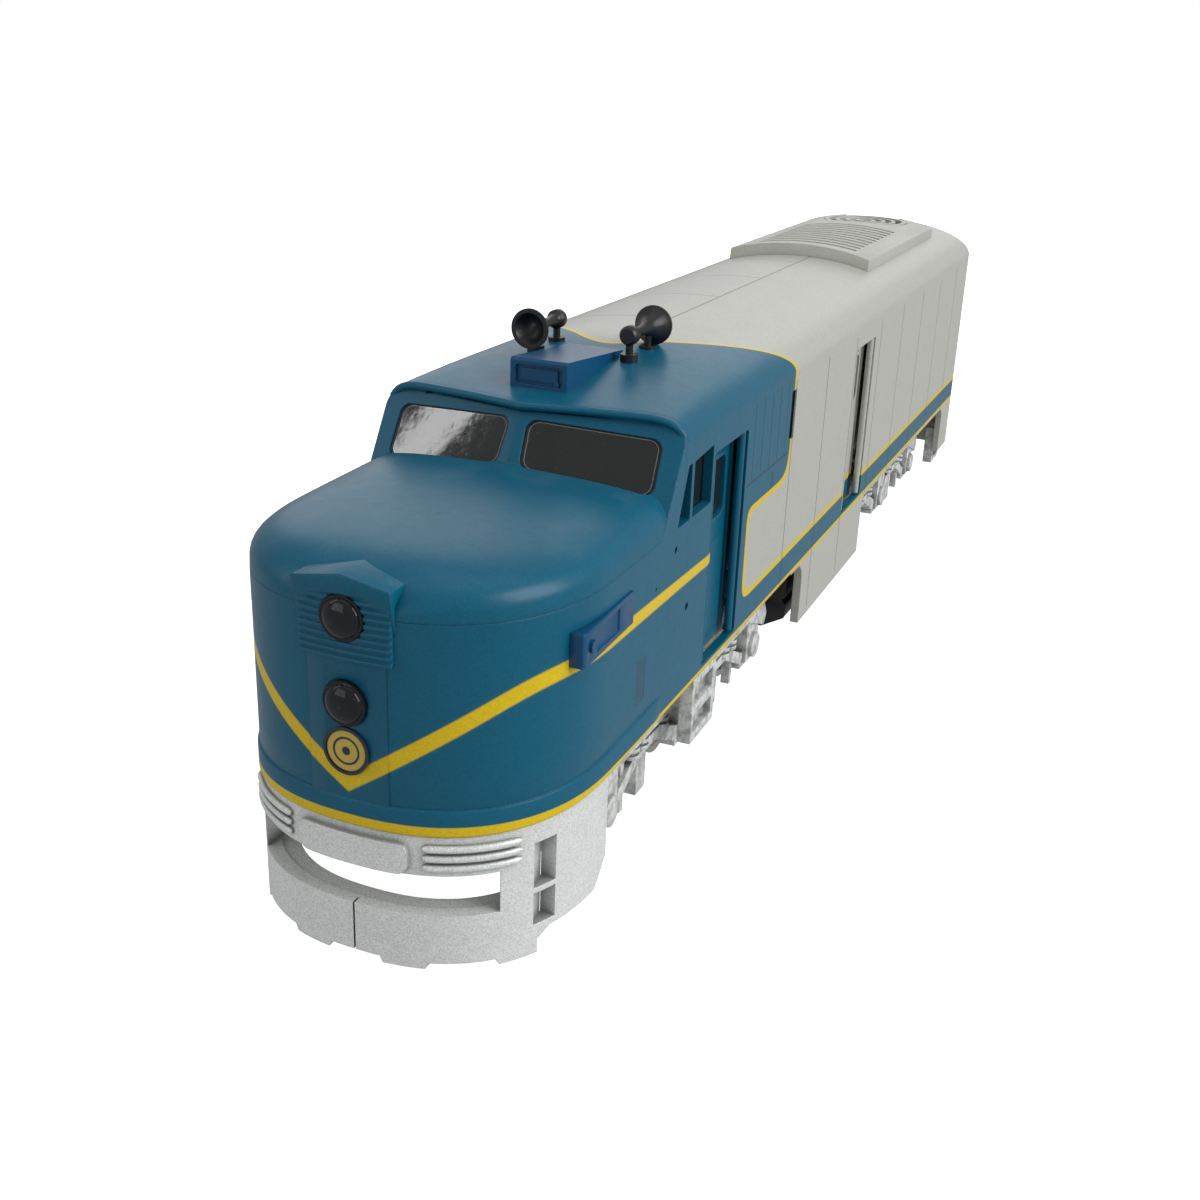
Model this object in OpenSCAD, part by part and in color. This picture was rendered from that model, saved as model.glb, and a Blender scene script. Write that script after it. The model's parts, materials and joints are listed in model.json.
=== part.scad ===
// Model diesel locomotive, 1:87 scale, long-nosed six-axle passenger unit.
// Stations are measured back from the tip of the nose, heights up from the sill line
// at the bottom of the painted body.  The finished part stands on its wheel flanges.

/* [Body] */
// Width over the body sides
body_w = 37; // [35:0.5:38]
// Station of the flat rear end
body_l = 216; // [210:1:224]
// Height of the straight side, sill to eave
side_h = 30.8; // [29:0.2:32]
// Rise of the roof arch above the eave
roof_rise = 6.2; // [5:0.2:7]
// Thickness of the moulded walls
wall = 1.2; // [1:0.1:1.5]
// Height of the sill line above the wheel flanges
sill_h = 17.3; // [17:0.1:18]

/* [Nose] */
// Station of the nose face
nose_face = 1.9; // [1:0.1:3]
// Length of the rounded part of the nose in plan
nose_round = 20.1; // [18:0.1:22]
// Height of the nose sides, where the rounded top begins
nose_side_h = 22; // [21:0.2:23]
// Height of the nose top at the windshield
nose_top_h = 27.8; // [27:0.1:28.4]
// Rake of the windshield from vertical
screen_rake = 31; // [26:1:34]
// Sweep of each windshield pane in plan
screen_sweep = 11; // [8:1:13]

/* [Pilot] */
// Depth of the pilot below the sill line
pilot_h = 15.2; // [14.6:0.1:15.3]
// Station where the pilot sides end
pilot_end = 22.5; // [20:0.5:23]
// Depth of the coupler opening's top edge below the sill line
pilot_gap_top = 4.4; // [4.2:0.1:4.6]
// Height of the coupler opening
pilot_gap_h = 4.6; // [4.4:0.1:5]

/* [Trucks] */
// Station of the front truck centre
front_truck_at = 60; // [59:0.5:61]
// Station of the rear truck centre
rear_truck_at = 170; // [169:0.5:171]
// Distance between neighbouring axles
axle_step = 27.1; // [27:0.1:27.2]
// Tread radius of a wheel
wheel_r = 5.83; // [5.8:0.01:5.85]
// Depth of the wheel flange
flange = 0.6; // [0.5:0.1:0.7]
// Distance between the backs of the wheels
back_to_back = 14.4; // [14.3:0.1:14.5]

/* [Drive] */
// Height of the motor shaft and worms
shaft_h = 23; // [23:0.1:23]
// Gear module
gear_m = 0.5; // [0.5:0.1:0.5]
// Teeth on a worm gear
worm_gear_n = 16; // [16:1:16]
// Teeth on an idler gear
idler_n = 21; // [21:1:21]
// Teeth on an axle gear
axle_gear_n = 18; // [18:1:18]

/* [Hidden] */

$fn = 32;
eps = 0.01;
half_w = body_w / 2;
coupler_reach = 8;          // coupler face behind the body end
lens_reach = 1.25;          // crown of a headlight lens ahead of the nose face
tip = nose_face - lens_reach;
nose_y = -(tip + body_l + coupler_reach) / 2;
crown = side_h + roof_rise;
nose_centre = nose_face + nose_round;
plan_power = 2 / 2.4;       // superellipse power of the nose plan
crown_power = 2 / 2.6;      // superellipse power of the nose top
screen_foot = 34.6;         // station where the centre post meets the nose
brow_h = 33.3;              // underside of the brow at the centre
cab_roof_back = 66;         // where the cab roof reaches full height
roof_fall = 6;              // slope of the cab roof towards the brow

blue = [0.09, 0.36, 0.50];
dark_blue = [0.07, 0.24, 0.42];
silver = [0.74, 0.76, 0.76];
body_grey = [0.72, 0.72, 0.69];
steel = [0.62, 0.63, 0.65];
black_plastic = [0.06, 0.06, 0.07];
brass = [0.80, 0.65, 0.30];
white_plastic = [0.90, 0.90, 0.86];

// ---------- helpers ----------

// place children given as [x, station, height above the sill line]
module on_body() translate([0, nose_y, sill_h]) children();

// extrude an XZ outline from station a to station b
module along(a, b) translate([0, b, 0]) rotate([90, 0, 0]) linear_extrude(b - a) children();

// extrude a YZ outline across the width, centred on x
module across(x, w) translate([x - w / 2, 0, 0]) rotate([90, 0, 90]) linear_extrude(w) children();

// box by its low corner and its high corner
module span(low, high) translate(low) cube(high - low);

module both_sides() for (s = [0, 1]) mirror([s, 0, 0]) children();

// outline with each corner turned to an arc that meets both edges
function unit(v) = v / norm(v);
function corner_arc(p, a, b, r) =
    let (u = unit(a - p), v = unit(b - p), half = acos(u * v) / 2,
         back = r / tan(half), c = p + unit(u + v) * r / sin(half),
         s = p + u * back - c, e = p + v * back - c)
    [for (k = [0 : 6]) c + r * unit(s * (6 - k) + e * k)];
function rounded(pts, r) = [for (i = [0 : len(pts) - 1])
    each corner_arc(pts[i], pts[(i + len(pts) - 1) % len(pts)], pts[(i + 1) % len(pts)], r)];
function rect(w, h) = [[-w / 2, -h / 2], [w / 2, -h / 2], [w / 2, h / 2], [-w / 2, h / 2]];

// signed power, for superellipse arcs
function spow(v, p) = sign(v) * pow(abs(v), p);

// ---------- outlines of the body ----------

// body cross-section, t inside the outer skin
module body_section(t = 0, low = 0)
    polygon(concat([[-(half_w - t), low], [half_w - t, low]],
        [for (a = [0 : 6 : 180]) [(half_w - t) * cos(a), side_h + (roof_rise - t) * sin(a)]]));

// plan of the nose, carried straight back to a given station
function nose_plan(t, back) = concat([[-(half_w - t), back], [half_w - t, back]],
    [for (a = [0 : 5 : 180]) [(half_w - t) * spow(cos(a), plan_power),
        nose_centre - (nose_round - t) * spow(sin(a), plan_power)]]);

module nose_section(t = 0, low = 0)
    polygon(concat([[-(half_w - t), low], [half_w - t, low]],
        [for (a = [0 : 6 : 180]) [(half_w - t) * spow(cos(a), crown_power),
            nose_side_h + (nose_top_h - nose_side_h - t) * spow(sin(a), crown_power)]]));

// centre-line profile of the nose: upright face, rounded edge, gentle slope up to the windshield
module nose_profile(t = 0, low = 0, back = 44)
    polygon(concat([[nose_face + t, low]],
        [for (a = [0 : 9 : 90]) [nose_face + 10 - (10 - t) * cos(a), nose_side_h + (4.3 - t) * sin(a)]],
        [[screen_foot, nose_top_h - t], [back, nose_top_h - t], [back, low]]));

module nose_block(t = 0, low = 0, back = 44)
    intersection() {
        translate([0, 0, low]) linear_extrude(nose_top_h) polygon(nose_plan(t, back));
        along(0, back) nose_section(t, low);
        across(0, body_w) nose_profile(t, low, back);
    }

// space ahead of the two raked windshield planes and ahead of the brow
module ahead_of_screen(t = 0)
    for (s = [1, -1]) {
        translate([0, screen_foot + t, nose_top_h]) rotate([0, 0, s * screen_sweep])
            rotate([-screen_rake, 0, 0]) translate([-30, -30, -40]) cube([60, 30, 46.4]);
        translate([0, screen_foot + 3.1 + t, brow_h]) rotate([0, 0, s * screen_sweep])
            translate([-30, -30, 0]) cube([60, 30, 20]);
    }

// cab and engine-room block, t inside the skin
module main_block(t = 0, low = 0)
    difference() {
        intersection() {
            along(34, body_l - t) body_section(t, low);
            falling_roof(t);
        }
        ahead_of_screen(t);
    }

// everything under the flatter cab roof, which falls towards the brow
module falling_roof(t) translate([0, cab_roof_back, crown - t]) rotate([roof_fall, 0, 0])
    along(-60, body_l) polygon(concat([[-22, -90], [22, -90]],
        [for (a = [0 : 6 : 180]) [22 * cos(a), 3 * sin(a) - 3]]));

// ---------- body shell ----------

door_stations = [50.8, 118.4];   // front edge of the cab door and of the engine-room door
door_w = 12.6;
door_low = 1.2;
door_top = 27.6;

module door_hole(at, t = 0)
    both_sides() span([half_w - wall - 1, at - t, door_low - t], [half_w + 1, at + door_w + t, door_top + t]);

// the door stands at the back of its recess, with a window in its upper half
module recessed_door(at)
    both_sides() difference() {
        span([half_w - wall - 1.1, at - 0.8, door_low - 0.8],
             [half_w - wall + eps, at + door_w + 0.8, door_top + 0.8]);
        translate([half_w - wall - 2, 0, 0]) across(0, 8)
            translate([at + door_w / 2, 21.4]) polygon(rounded(rect(6.4, 7.4), 0.9));
    }

quarter_light = [[40.6, 21.9], [43.6, 21.9], [43.6, 27.6], [43.0, 27.6]];
cab_window = [[44.4, 21.9], [49.6, 21.9], [49.6, 28.4], [44.4, 28.0]];

module side_windows(depth, grow = 0)
    both_sides() for (shape = [quarter_light, cab_window])
        across(half_w - depth / 2, depth) offset_free(shape, grow);

// outline with small round corners; grow moves the straight edges outwards about the middle
module offset_free(shape, grow) polygon(rounded([for (p = shape) p + grow * unit(p - mid(shape))], 0.35));
function mid(s) = [for (i = [0, 1]) (s[0][i] + s[1][i] + s[2][i] + s[3][i]) / 4];

// one pane outline in the plane of the windshield, right-hand side
pane = [[1.3, 0.3], [16.4, -1.1], [16.7, 4.0], [1.5, 4.9]];

// place children in the plane of a windshield pane (s = 1 left of the train, -1 right)
module on_screen(s) translate([0, screen_foot, nose_top_h]) rotate([0, 0, s * screen_sweep])
    rotate([90 - screen_rake, 0, 0]) mirror([s < 0 ? 1 : 0, 0, 0]) children();

module screen_holes() for (s = [1, -1]) on_screen(s)
    translate([0, 0, -3]) linear_extrude(5) polygon(rounded(pane, 0.9));

// openings in the skirt for the trucks
module truck_wells() for (at = [front_truck_at, rear_truck_at])
    across(0, body_w + 2) polygon(rounded(
        [[at - 36.5, -20], [at - 36.5, -0.4], [at + 36.5, -0.4], [at + 36.5, -20]], 3));

// screw spots as [x, station]: one under the nose, two at the rear corners
screw_spots = [[0, 27.5], [-11, 207.6], [11, 207.6]];
boss_foot = 7.3;
module shell_bosses() for (p = screw_spots) difference() {
    intersection() {
        translate([p[0], p[1], boss_foot]) cylinder(r = 2.4, h = 40);
        union() {
            nose_block(wall / 2);
            main_block(wall / 2);
        }
    }
    translate([p[0], p[1], boss_foot - 1]) cylinder(r = 0.85, h = 9);
}

module body_shell() color(blue) on_body() {
    difference() {
        union() {
            nose_block();
            main_block();
            // skirt between the trucks and behind the rear truck
            along(front_truck_at + 30, body_l) polygon([[-half_w, -10.2], [half_w, -10.2],
                [half_w, eps], [-half_w, eps]]);
            // raised base moulding round the nose
            intersection() {
                linear_extrude(2.9) polygon(nose_plan(-0.18, 37));
                both_sides() span([4.35, -2, -1], [half_w + 1, 36.4, 4]);
            }
            // roof walkway plates
            intersection() {
                along(84, body_l - 6) body_section(-0.35);
                for (y = [86, 104, 122]) span([-9.6, y, side_h], [9.6, y + 15.5, crown + 2]);
            }
            // eave rails
            both_sides() span([half_w - 0.3, 66, side_h + 0.2], [half_w + 0.18, body_l - 1, side_h + 0.7]);
        }
        nose_block(wall, -1, 48);
        main_block(wall, -1);
        span([-half_w + wall, front_truck_at, -30], [half_w - wall, body_l - wall, 2]);
        truck_wells();
        for (at = door_stations) door_hole(at);
        side_windows(4);
        screen_holes();
        // holes for the two lamps and for the lugs of the applied parts
        for (z = [21.6, 13.0]) translate([0, -2, z]) rotate([-90, 0, 0]) cylinder(r = 1.5, h = 8);
        // tall ventilation slot behind the cab, and the radiator opening in the roof
        both_sides() span([half_w - 0.5, 82.2, 21.6], [half_w + 1, 84.4, 28.4]);
        translate([0, 196, 20]) cylinder(r = 8.2, h = 30);
        // way through the rear skirt for the coupler
        span([-6.5, body_l - 3, -11], [6.5, body_l + 1, -3]);
        // lower corners of the skirt
        for (y = [front_truck_at + 36.5, rear_truck_at - 36.5])
            translate([0, y, -10.2]) rotate([45, 0, 0]) cube([body_w + 2, 3, 3], center = true);
    }
    for (at = door_stations) recessed_door(at);
    shell_bosses();
    rear_door();
}

// end door and its two windows on the flat rear wall
module rear_door() difference() {
    span([-5, body_l - wall, 0], [5, body_l + 0.25, 26]);
    span([-3.6, body_l - 0.3, 13], [3.6, body_l + 1, 23]);
}

// ---------- applied parts of the nose ----------

lamp_h = [21.6, 13.0];
door_half = 4.3;            // half width of the plain lower door
grille_half = 5;
grille_low = 17.4;
grille_top = 25.0;
door_proud = 0.12;          // how far each layer stands ahead of the nose face
grille_proud = 0.3;
rib_proud = 0.5;
badge_h = 8;

// solid ahead of the nose that follows its rounded plan
module face_plate(proud, half, low, high) intersection() {
    translate([0, 0, low]) linear_extrude(high - low) polygon(nose_plan(-proud, 8));
    span([-half, -2, low - 1], [half, 7, high + 1]);
}

module nose_door_panel() color(blue) on_body() difference() {
    union() {
        face_plate(door_proud, door_half, 0.7, grille_low);
        face_plate(grille_proud, grille_half, grille_low, grille_top);
        for (z = [grille_low : 0.72 : grille_top - 0.4]) face_plate(rib_proud, grille_half, z, z + 0.36);
        // gabled hood that runs back into the nose top
        intersection() {
            across(0, 12) polygon([[nose_face - rib_proud, grille_top - 0.6],
                [nose_face - rib_proud, grille_top + 0.9], [9.5, nose_top_h], [9.5, 20], [nose_face + 0.5, 20]]);
            along(0, 10) polygon([[-5.2, 20], [5.2, 20], [5.2, grille_top], [0, grille_top + 0.9],
                [-5.2, grille_top]]);
        }
    }
    nose_block();
    for (z = lamp_h) translate([0, -2, z]) rotate([-90, 0, 0]) cylinder(r = 2.35, h = 8);
}

module nose_badge() color([0.85, 0.72, 0.25]) on_body() difference() {
    translate([0, nose_face, badge_h]) rotate([90, 0, 0]) {
        cylinder(r = 2.2, h = 0.3);
        difference() {
            cylinder(r = 2.5, h = 0.4);
            translate([0, 0, 0.2]) cylinder(r = 2.2, h = 1);
        }
    }
    translate([0, 0, badge_h - 4]) linear_extrude(8) polygon(nose_plan(-door_proud, 8));
}

// domed lens in a black rim, with a stem that reaches the light pipe
module headlight_lens(z) on_body() translate([0, nose_face, z]) rotate([90, 0, 0]) {
    rotate_extrude($fn = 48) polygon(concat([[0, -2]], [[1.3, -2], [1.3, 0], [2.3, 0], [2.3, 0.5]],
        [for (a = [0 : 10 : 90]) [2.0 * cos(a), 0.5 + 0.75 * sin(a)]]));
}
module upper_headlight_lens() color("black") headlight_lens(lamp_h[0]);
module lower_headlight_lens() color("black") headlight_lens(lamp_h[1]);

module light_pipe() color(white_plastic) on_body() difference() {
    union() {
        for (z = lamp_h) translate([0, nose_face + 2.1, z]) rotate([-90, 0, 0]) cylinder(r = 1.3, h = 4.4);
        span([-1.3, nose_face + 5.4, lamp_h[1] - 1.3], [1.3, nose_face + 8, lamp_h[0] + 1.3]);
    }
    span([-1, nose_face + 7.2, lamp_h[1]], [1, nose_face + 9, lamp_h[1] + 2]);
}

// wedge housing for the number board and class lamp: deep at the front, flush at the back
board_front = 13.4;
board_back = 26.6;
module number_board() color(dark_blue) on_body() difference() {
    translate([0, 0, 15.6]) linear_extrude(3.6) polygon([[half_w - 3.4, board_front],
        [half_w + 0.4, board_front], [half_w + 0.55, board_front + 0.5], [half_w + 0.25, board_back],
        [half_w - 0.6, board_back]]);
    nose_block();
    // sunk face and lamp seat
    span([half_w + 0.15, board_front + 3.2, 16.2], [half_w + 2, board_back - 4, 18.6]);
    class_lamp(0.64);
}
module class_lamp(r) translate([half_w + 0.3, board_front + 1.9, 17.4]) rotate([0, 90, 0]) cylinder(r = r, h = 0.5);
module left_number_board() number_board();
module right_number_board() mirror([1, 0, 0]) number_board();

module class_lamp_lenses() color(dark_blue) on_body() both_sides() class_lamp(0.62);

// ---------- windows ----------

module windshield_glazing() color([0.1, 0.1, 0.1, 0.6]) on_body() {
    for (s = [1, -1]) on_screen(s) {
        translate([0, 0, -1.0]) linear_extrude(0.7) polygon(rounded([for (p = pane) p + 0.06 * unit(mid(pane) - p)], 0.85));
        translate([0, 0, -2.0]) linear_extrude(0.7) polygon([[1.1, 0.1], [15.2, -1.2], [15.2, 4.2], [1.3, 4.9]]);
        translate([0, 0, -1.5]) linear_extrude(0.7) polygon([[2, 0.6], [15, -0.6], [15, 3.6], [2, 4.3]]);
    }
}

module side_window_glazing() color([0.1, 0.1, 0.1, 0.6]) on_body() both_sides() {
    for (shape = [quarter_light, cab_window])
        across(half_w - 0.95, 0.6) offset_free(shape, -0.08);
    span([half_w - wall - 0.7, 41, 21], [half_w - wall - 0.1, 49.8, 29]);
    across(half_w - 1.2, 0.3) offset_free(cab_window, -0.3);
}

// ---------- roof ----------

module roof_wedge_housing() color(dark_blue) on_body() difference() {
    across(0, 7) polygon([[42.2, 33.9], [42.2, 37.6], [42.5, 37.8], [58.4, 36.5], [58.4, 36], [43.4, 33.9]]);
    main_block();
    span([-2.9, 41, 34.6], [2.9, 42.5, 37.3]);
}

// air horn on two posts, bell end first; the bell points along +Y before placing
module horn(x, y, turn) color(black_plastic) on_body() translate([x, y, 38.9]) rotate([0, 0, turn]) {
    rotate([-90, 0, 0]) rotate_extrude($fn = 40) polygon([[0, -4.6], [0.9, -4.6], [1.15, -4.2], [1.15, -3.2],
        [0.75, -2.8], [0.55, -1.2], [0.65, 0.4], [0.95, 1.8], [1.5, 2.9], [2.25, 3.7], [2.4, 3.8],
        [2.4, 4.1], [1.9, 4.1], [1.2, 3.2], [0, 2.6]]);
    for (p = [-3.7, 2.2]) translate([0, p, -3.4]) {
        cylinder(r = 0.45, h = 3.2);
        cylinder(r = 1.05, h = 1.2);
    }
}
module left_horn() horn(-6.2, 56.6, 180);
module right_horn() horn(5.4, 59.4, 0);

module roof_hatch() color(body_grey) on_body() difference() {
    intersection() {
        along(140, 206) body_section(-2.0);
        across(0, body_w) polygon([[143, 20], [148, crown + 3], [202, crown + 3], [205, 20]]);
        span([-12.5, 140, side_h + 1], [12.5, 206, crown + 3]);
    }
    along(139, 207) body_section(0);
    for (y = [151 : 3 : 181]) span([-9, y, crown - 3], [9, y + 1.4, crown + 3]);
    translate([0, 196, 20]) cylinder(r = 8.3, h = 30);
}

// round radiator grille: rings on four spokes over a seven-bladed fan
module radiator_fan_grille() color(body_grey) on_body() translate([0, 196, crown - 1.2]) {
    for (r = [1.6, 3.6, 5.6, 7.6]) translate([0, 0, 2.1]) difference() {
        cylinder(r = r + 0.45, h = 0.6);
        translate([0, 0, -eps]) cylinder(r = r - 0.3, h = 1);
    }
    difference() {
        cylinder(r = 8.15, h = 2.7);
        translate([0, 0, -eps]) cylinder(r = 7.4, h = 4);
    }
    for (a = [0, 45, 90, 135]) rotate([0, 0, a]) translate([-7.6, -0.3, 1.9]) cube([15.2, 0.6, 0.5]);
    cylinder(r = 1.5, h = 2.4);
    for (k = [0 : 6]) rotate([0, 0, k * 360 / 7]) translate([1, -0.9, 0.3]) rotate([25, 0, 0]) cube([6.2, 1.9, 0.3]);
    translate([-7.6, -0.6, 0]) cube([15.2, 1.2, 0.4]);
}

// ---------- wire and steps ----------

// stout grab post on two feet inside a door recess
module grab(y, low, high) {
    translate([half_w - 0.6, y, low]) cylinder(r = 0.5, h = high - low, $fn = 24);
    for (z = [low, high - 0.8]) translate([half_w - wall + 0.02, y - 0.35, z]) cube([0.6, 0.7, 0.8]);
}
module door_rails(at) both_sides() for (y = [at + 0.7, at + door_w - 0.9]) grab(y, door_low + 0.1, door_top - 0.1);
module cab_handrails() color(blue) on_body() door_rails(door_stations[0]);
module engine_door_handrails() color(body_grey) on_body() door_rails(door_stations[1]);

// two step plates under the cab door, with a slot between them for the foot
ladder_at = [49, 57.4];
ladder_low = -9;
module cab_ladders() color(silver) on_body() both_sides() difference() {
    span([half_w - 1.9, ladder_at[0], ladder_low], [half_w - 0.2, ladder_at[1], 0]);
    span([half_w - 1.2, ladder_at[0] + 0.9, ladder_low + 1.2], [half_w + 1, ladder_at[1] - 0.9, ladder_low + 3.6]);
    span([half_w - 1.2, ladder_at[0] + 0.9, ladder_low + 5], [half_w + 1, ladder_at[1] - 0.9, ladder_low + 7.6]);
}

// ---------- pilot ----------

module pilot_band(t, low, high) translate([0, 0, low]) linear_extrude(high - low) difference() {
    polygon(nose_plan(t, pilot_end));
    polygon(nose_plan(t + 1.6, pilot_end + 1));
}

module pilot() color(silver) on_body() {
    difference() {
        pilot_band(0.15, -pilot_h, -0.1);
        // wide coupler opening
        span([-13.7, -2, -pilot_gap_top - pilot_gap_h], [13.7, 12, -pilot_gap_top]);
        // two windows in each corner
        both_sides() for (z = [-4.6, -8.9]) span([15.6, 5, z - 3.3], [30, 11.8, z]);
        // toothed lower edge
        across(0, 60) polygon([[10.5, -30], [10.5, -pilot_h + 2.4], [12, -pilot_h + 3.6],
            [40, -pilot_h + 3.6], [40, -30]]);
        for (x = [-10.6, 0, 10.6]) translate([x, 0, -pilot_h]) along(-3, 14)
            polygon([[-3.6, -1], [-2.8, 0.7], [2.8, 0.7], [3.6, -1]]);
        span([-0.12, -1, -20], [0.12, nose_face + 1, -pilot_gap_top - 2]);
        // rear lower corner of each side
        translate([0, pilot_end, -pilot_h + 3]) rotate([40, 0, 0]) cube([60, 9, 9], center = true);
    }
    // blank plate over the opening
    intersection() {
        translate([0, 0, -4.2]) linear_extrude(3.3) difference() {
            polygon(nose_plan(-0.35, pilot_end));
            polygon(nose_plan(1, pilot_end + 1));
        }
        along(-2, 5) translate([0, -2.55]) polygon(rounded(rect(12.2, 3.3), 0.8));
    }
    // three rounded bars each side
    for (z = [-1.5, -2.5, -3.5]) intersection() {
        translate([0, 0, z - 0.3]) linear_extrude(0.6) difference() {
            polygon(nose_plan(-0.25, pilot_end));
            polygon(nose_plan(1, pilot_end + 1));
        }
        both_sides() span([7.3, -2, -10], [15.2, 16, 0]);
    }
    // inner flange that seats under the nose
    difference() {
        pilot_band(1.5, -1.6, -0.1);
        span([-half_w + 1.7, 30, -5], [half_w - 1.7, 40, 5]);
    }
}

// ---------- rear end ----------

module rear_diaphragm() color(black_plastic) on_body() difference() {
    along(body_l + 0.25, body_l + 3.4) polygon(rounded([[-6.6, 0.5], [6.6, 0.5], [6.6, 28], [-6.6, 28]], 1.2));
    along(body_l, body_l + 5) polygon(rounded([[-4.4, 1.8], [4.4, 1.8], [4.4, 25.6], [-4.4, 25.6]], 0.8));
    for (y = [0.9, 1.9]) difference() {
        along(body_l + y, body_l + y + 0.4) square([60, 120], center = true);
        along(body_l + y - 1, body_l + y + 2) polygon(rounded([[-5.9, 1.2], [5.9, 1.2], [5.9, 27.3], [-5.9, 27.3]], 1));
    }
}

module rear_steps() color(silver) on_body() both_sides() {
    for (y = [207.6, 213.7]) span([half_w - wall - 1.9, y, -13.2], [half_w - wall, y + 0.9, -5.4]);
    for (z = [-13.2, -9.6]) span([half_w - wall - 1.9, 207.6, z], [half_w - wall, 214.6, z + 0.7]);
}

// ---------- chassis ----------

plate_low = 22;             // underside of the die-cast floor above the wheel flanges
plate_top = 24.5;
turret_r = 7;               // pivot turret of each truck
mid_front = 97.5;
mid_back = 133.5;

// plain box in station, width and true height
module rail_box(a, b, x0, x1, z0, z1) translate([0, nose_y, 0]) span([x0, a, z0], [x1, b, z1]);

rail_in = 9.9;              // inner faces of the long side rails
rail_out = 13.5;
rail_top = 36;
module chassis_frame() color(steel) difference() {
    union() {
        rail_box(14, mid_front + 2, -rail_out, rail_out, plate_low, plate_top);
        rail_box(mid_back - 2, 211, -rail_out, rail_out, plate_low, plate_top);
        // low floor under the motor, and side rails that tie the two ends together
        rail_box(mid_front - 1, mid_back + 1, -rail_out, rail_out, 13.6, 15.6);
        both_sides() rail_box(mid_front - 1, mid_back + 1, rail_in, rail_out, 13.6, 30);
        both_sides() rail_box(72, 158, rail_in, rail_out, plate_low, rail_top);
        // weight over the rear truck
        rail_box(182, 204.5, -12, 12, plate_low, 40);
        // pad for a front coupler, and the post of the rear one
        rail_box(14, 24, -4, 4, 13.9, plate_low + 1);
        rail_box(206, 214, -3.5, 3.5, 13.4, plate_low + 1);
    }
    // pivot holes, each with a way out towards the motor for the drive shaft
    for (q = [[front_truck_at, 1], [rear_truck_at, -1]]) translate([0, nose_y + q[0], plate_low - 1]) {
        cylinder(r = turret_r + 0.06, h = 5, $fn = 64);
        linear_extrude(5) polygon([[-5.3, 4 * q[1]], [5.3, 4 * q[1]], [5.6, 25 * q[1]], [-5.6, 25 * q[1]]]);
    }
    // room for the motor and flywheels
    rail_box(84.5, 145.5, -rail_in, rail_in, 15.6, 40);
    // coupler screw holes, shell screw holes
    for (y = [19, coupler_post_at]) translate([0, nose_y + y, 13]) cylinder(r = 0.85, h = 5.9);
    for (p = screw_spots) translate([p[0], nose_y + p[1], 19]) cylinder(r = 1.1, h = 10);
}

module fuel_tank() color(black_plastic) translate([0, nose_y, 0]) difference() {
    along(99.5, 131.5) polygon(rounded([[-15.6, 6.2], [-12, 4.2], [12, 4.2], [15.6, 6.2],
        [15.6, 13.4], [-15.6, 13.4]], 0.8));
    along(101, 130) polygon([[-14, 6.6], [14, 6.6], [14, 14], [-14, 14]]);
    for (s = [-1, 1]) along(98, 133) translate([s * 15.8, 9.2]) circle(r = 0.7);
}

module motor_case() color(steel) translate([0, nose_y, shaft_h]) difference() {
    union() {
        intersection() {
            along(102.5, 127.5) circle(r = 9.6, $fn = 64);
            along(102, 128) square([19.2, 14.4], center = true);
        }
        along(101.2, 128.8) circle(r = 3, $fn = 48);
        // rubber saddle
        difference() {
            span([-7, 106, -7.35], [7, 124, -5]);
            along(105, 125) square([12, 11], center = true);
        }
    }
    along(100, 130) circle(r = 1.05, $fn = 48);
}

module motor_shaft() color(brass) translate([0, nose_y, shaft_h]) along(92, 138) circle(r = 1, $fn = 48);

// flywheel with a cup in its outer end for the drive-shaft ball; s = -1 front, 1 rear
module flywheel(s) color(brass) translate([0, nose_y + 115, shaft_h]) mirror([0, s < 0 ? 1 : 0, 0]) difference() {
    union() {
        along(16.4, 22.5) circle(r = 6.9, $fn = 64);
        along(22.5, 28) circle(r = 3.4, $fn = 48);
    }
    along(16, 23) circle(r = 1, $fn = 48);
    along(23.4, 29) circle(r = 2.4, $fn = 48);
    along(22.9, 23.5) circle(r = 1, $fn = 48);
}
module front_flywheel() flywheel(-1);
module rear_flywheel() flywheel(1);

cup_ball = 9.6;             // centre of the shaft's outer ball, measured from the truck pivot
// shaft with a ball and cross pin at each end; the flywheel's ball fits its cup closely
module drive_shaft(at_wheel, at_worm) color(black_plastic) translate([0, nose_y, shaft_h]) {
    along(min(at_wheel, at_worm), max(at_wheel, at_worm)) circle(r = 0.9, $fn = 32);
    for (q = [[at_wheel, 2.35], [at_worm, 1.5]]) translate([0, q[0], 0]) {
        sphere(r = 1.35, $fn = 32);
        rotate([0, 90, 0]) cylinder(r = 0.4, h = 2 * q[1], center = true);
    }
}
module front_drive_shaft() drive_shaft(89.4, front_truck_at + cup_ball);
module rear_drive_shaft() drive_shaft(140.6, rear_truck_at - cup_ball);

module circuit_board() translate([0, nose_y, 0]) {
    color([0.10, 0.35, 0.16]) span([-11, 78, rail_top], [11, 152, rail_top + 1.2]);
    color("dimgray") for (y = [84, 96, 112, 128, 142]) span([-3.5, y, rail_top + 1.1], [3.5, y + 6, rail_top + 2.6]);
}

// slotted screw standing upright, head below
module screw(reach) difference() {
    union() {
        cylinder(r = 1.7, h = 1.2);
        translate([0, 0, 1]) cylinder(r = 0.84, h = reach);
    }
    translate([-0.3, -3, -1]) cube([0.6, 6, 1.6]);
}
module body_screws() color(steel) {
    for (p = screw_spots) translate([p[0], nose_y + p[1], plate_low - 1.2]) screw(8.4);
    translate([0, nose_y + coupler_post_at, coupler_h - 3.8]) screw(10);
}

// ---------- coupler ----------

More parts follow.
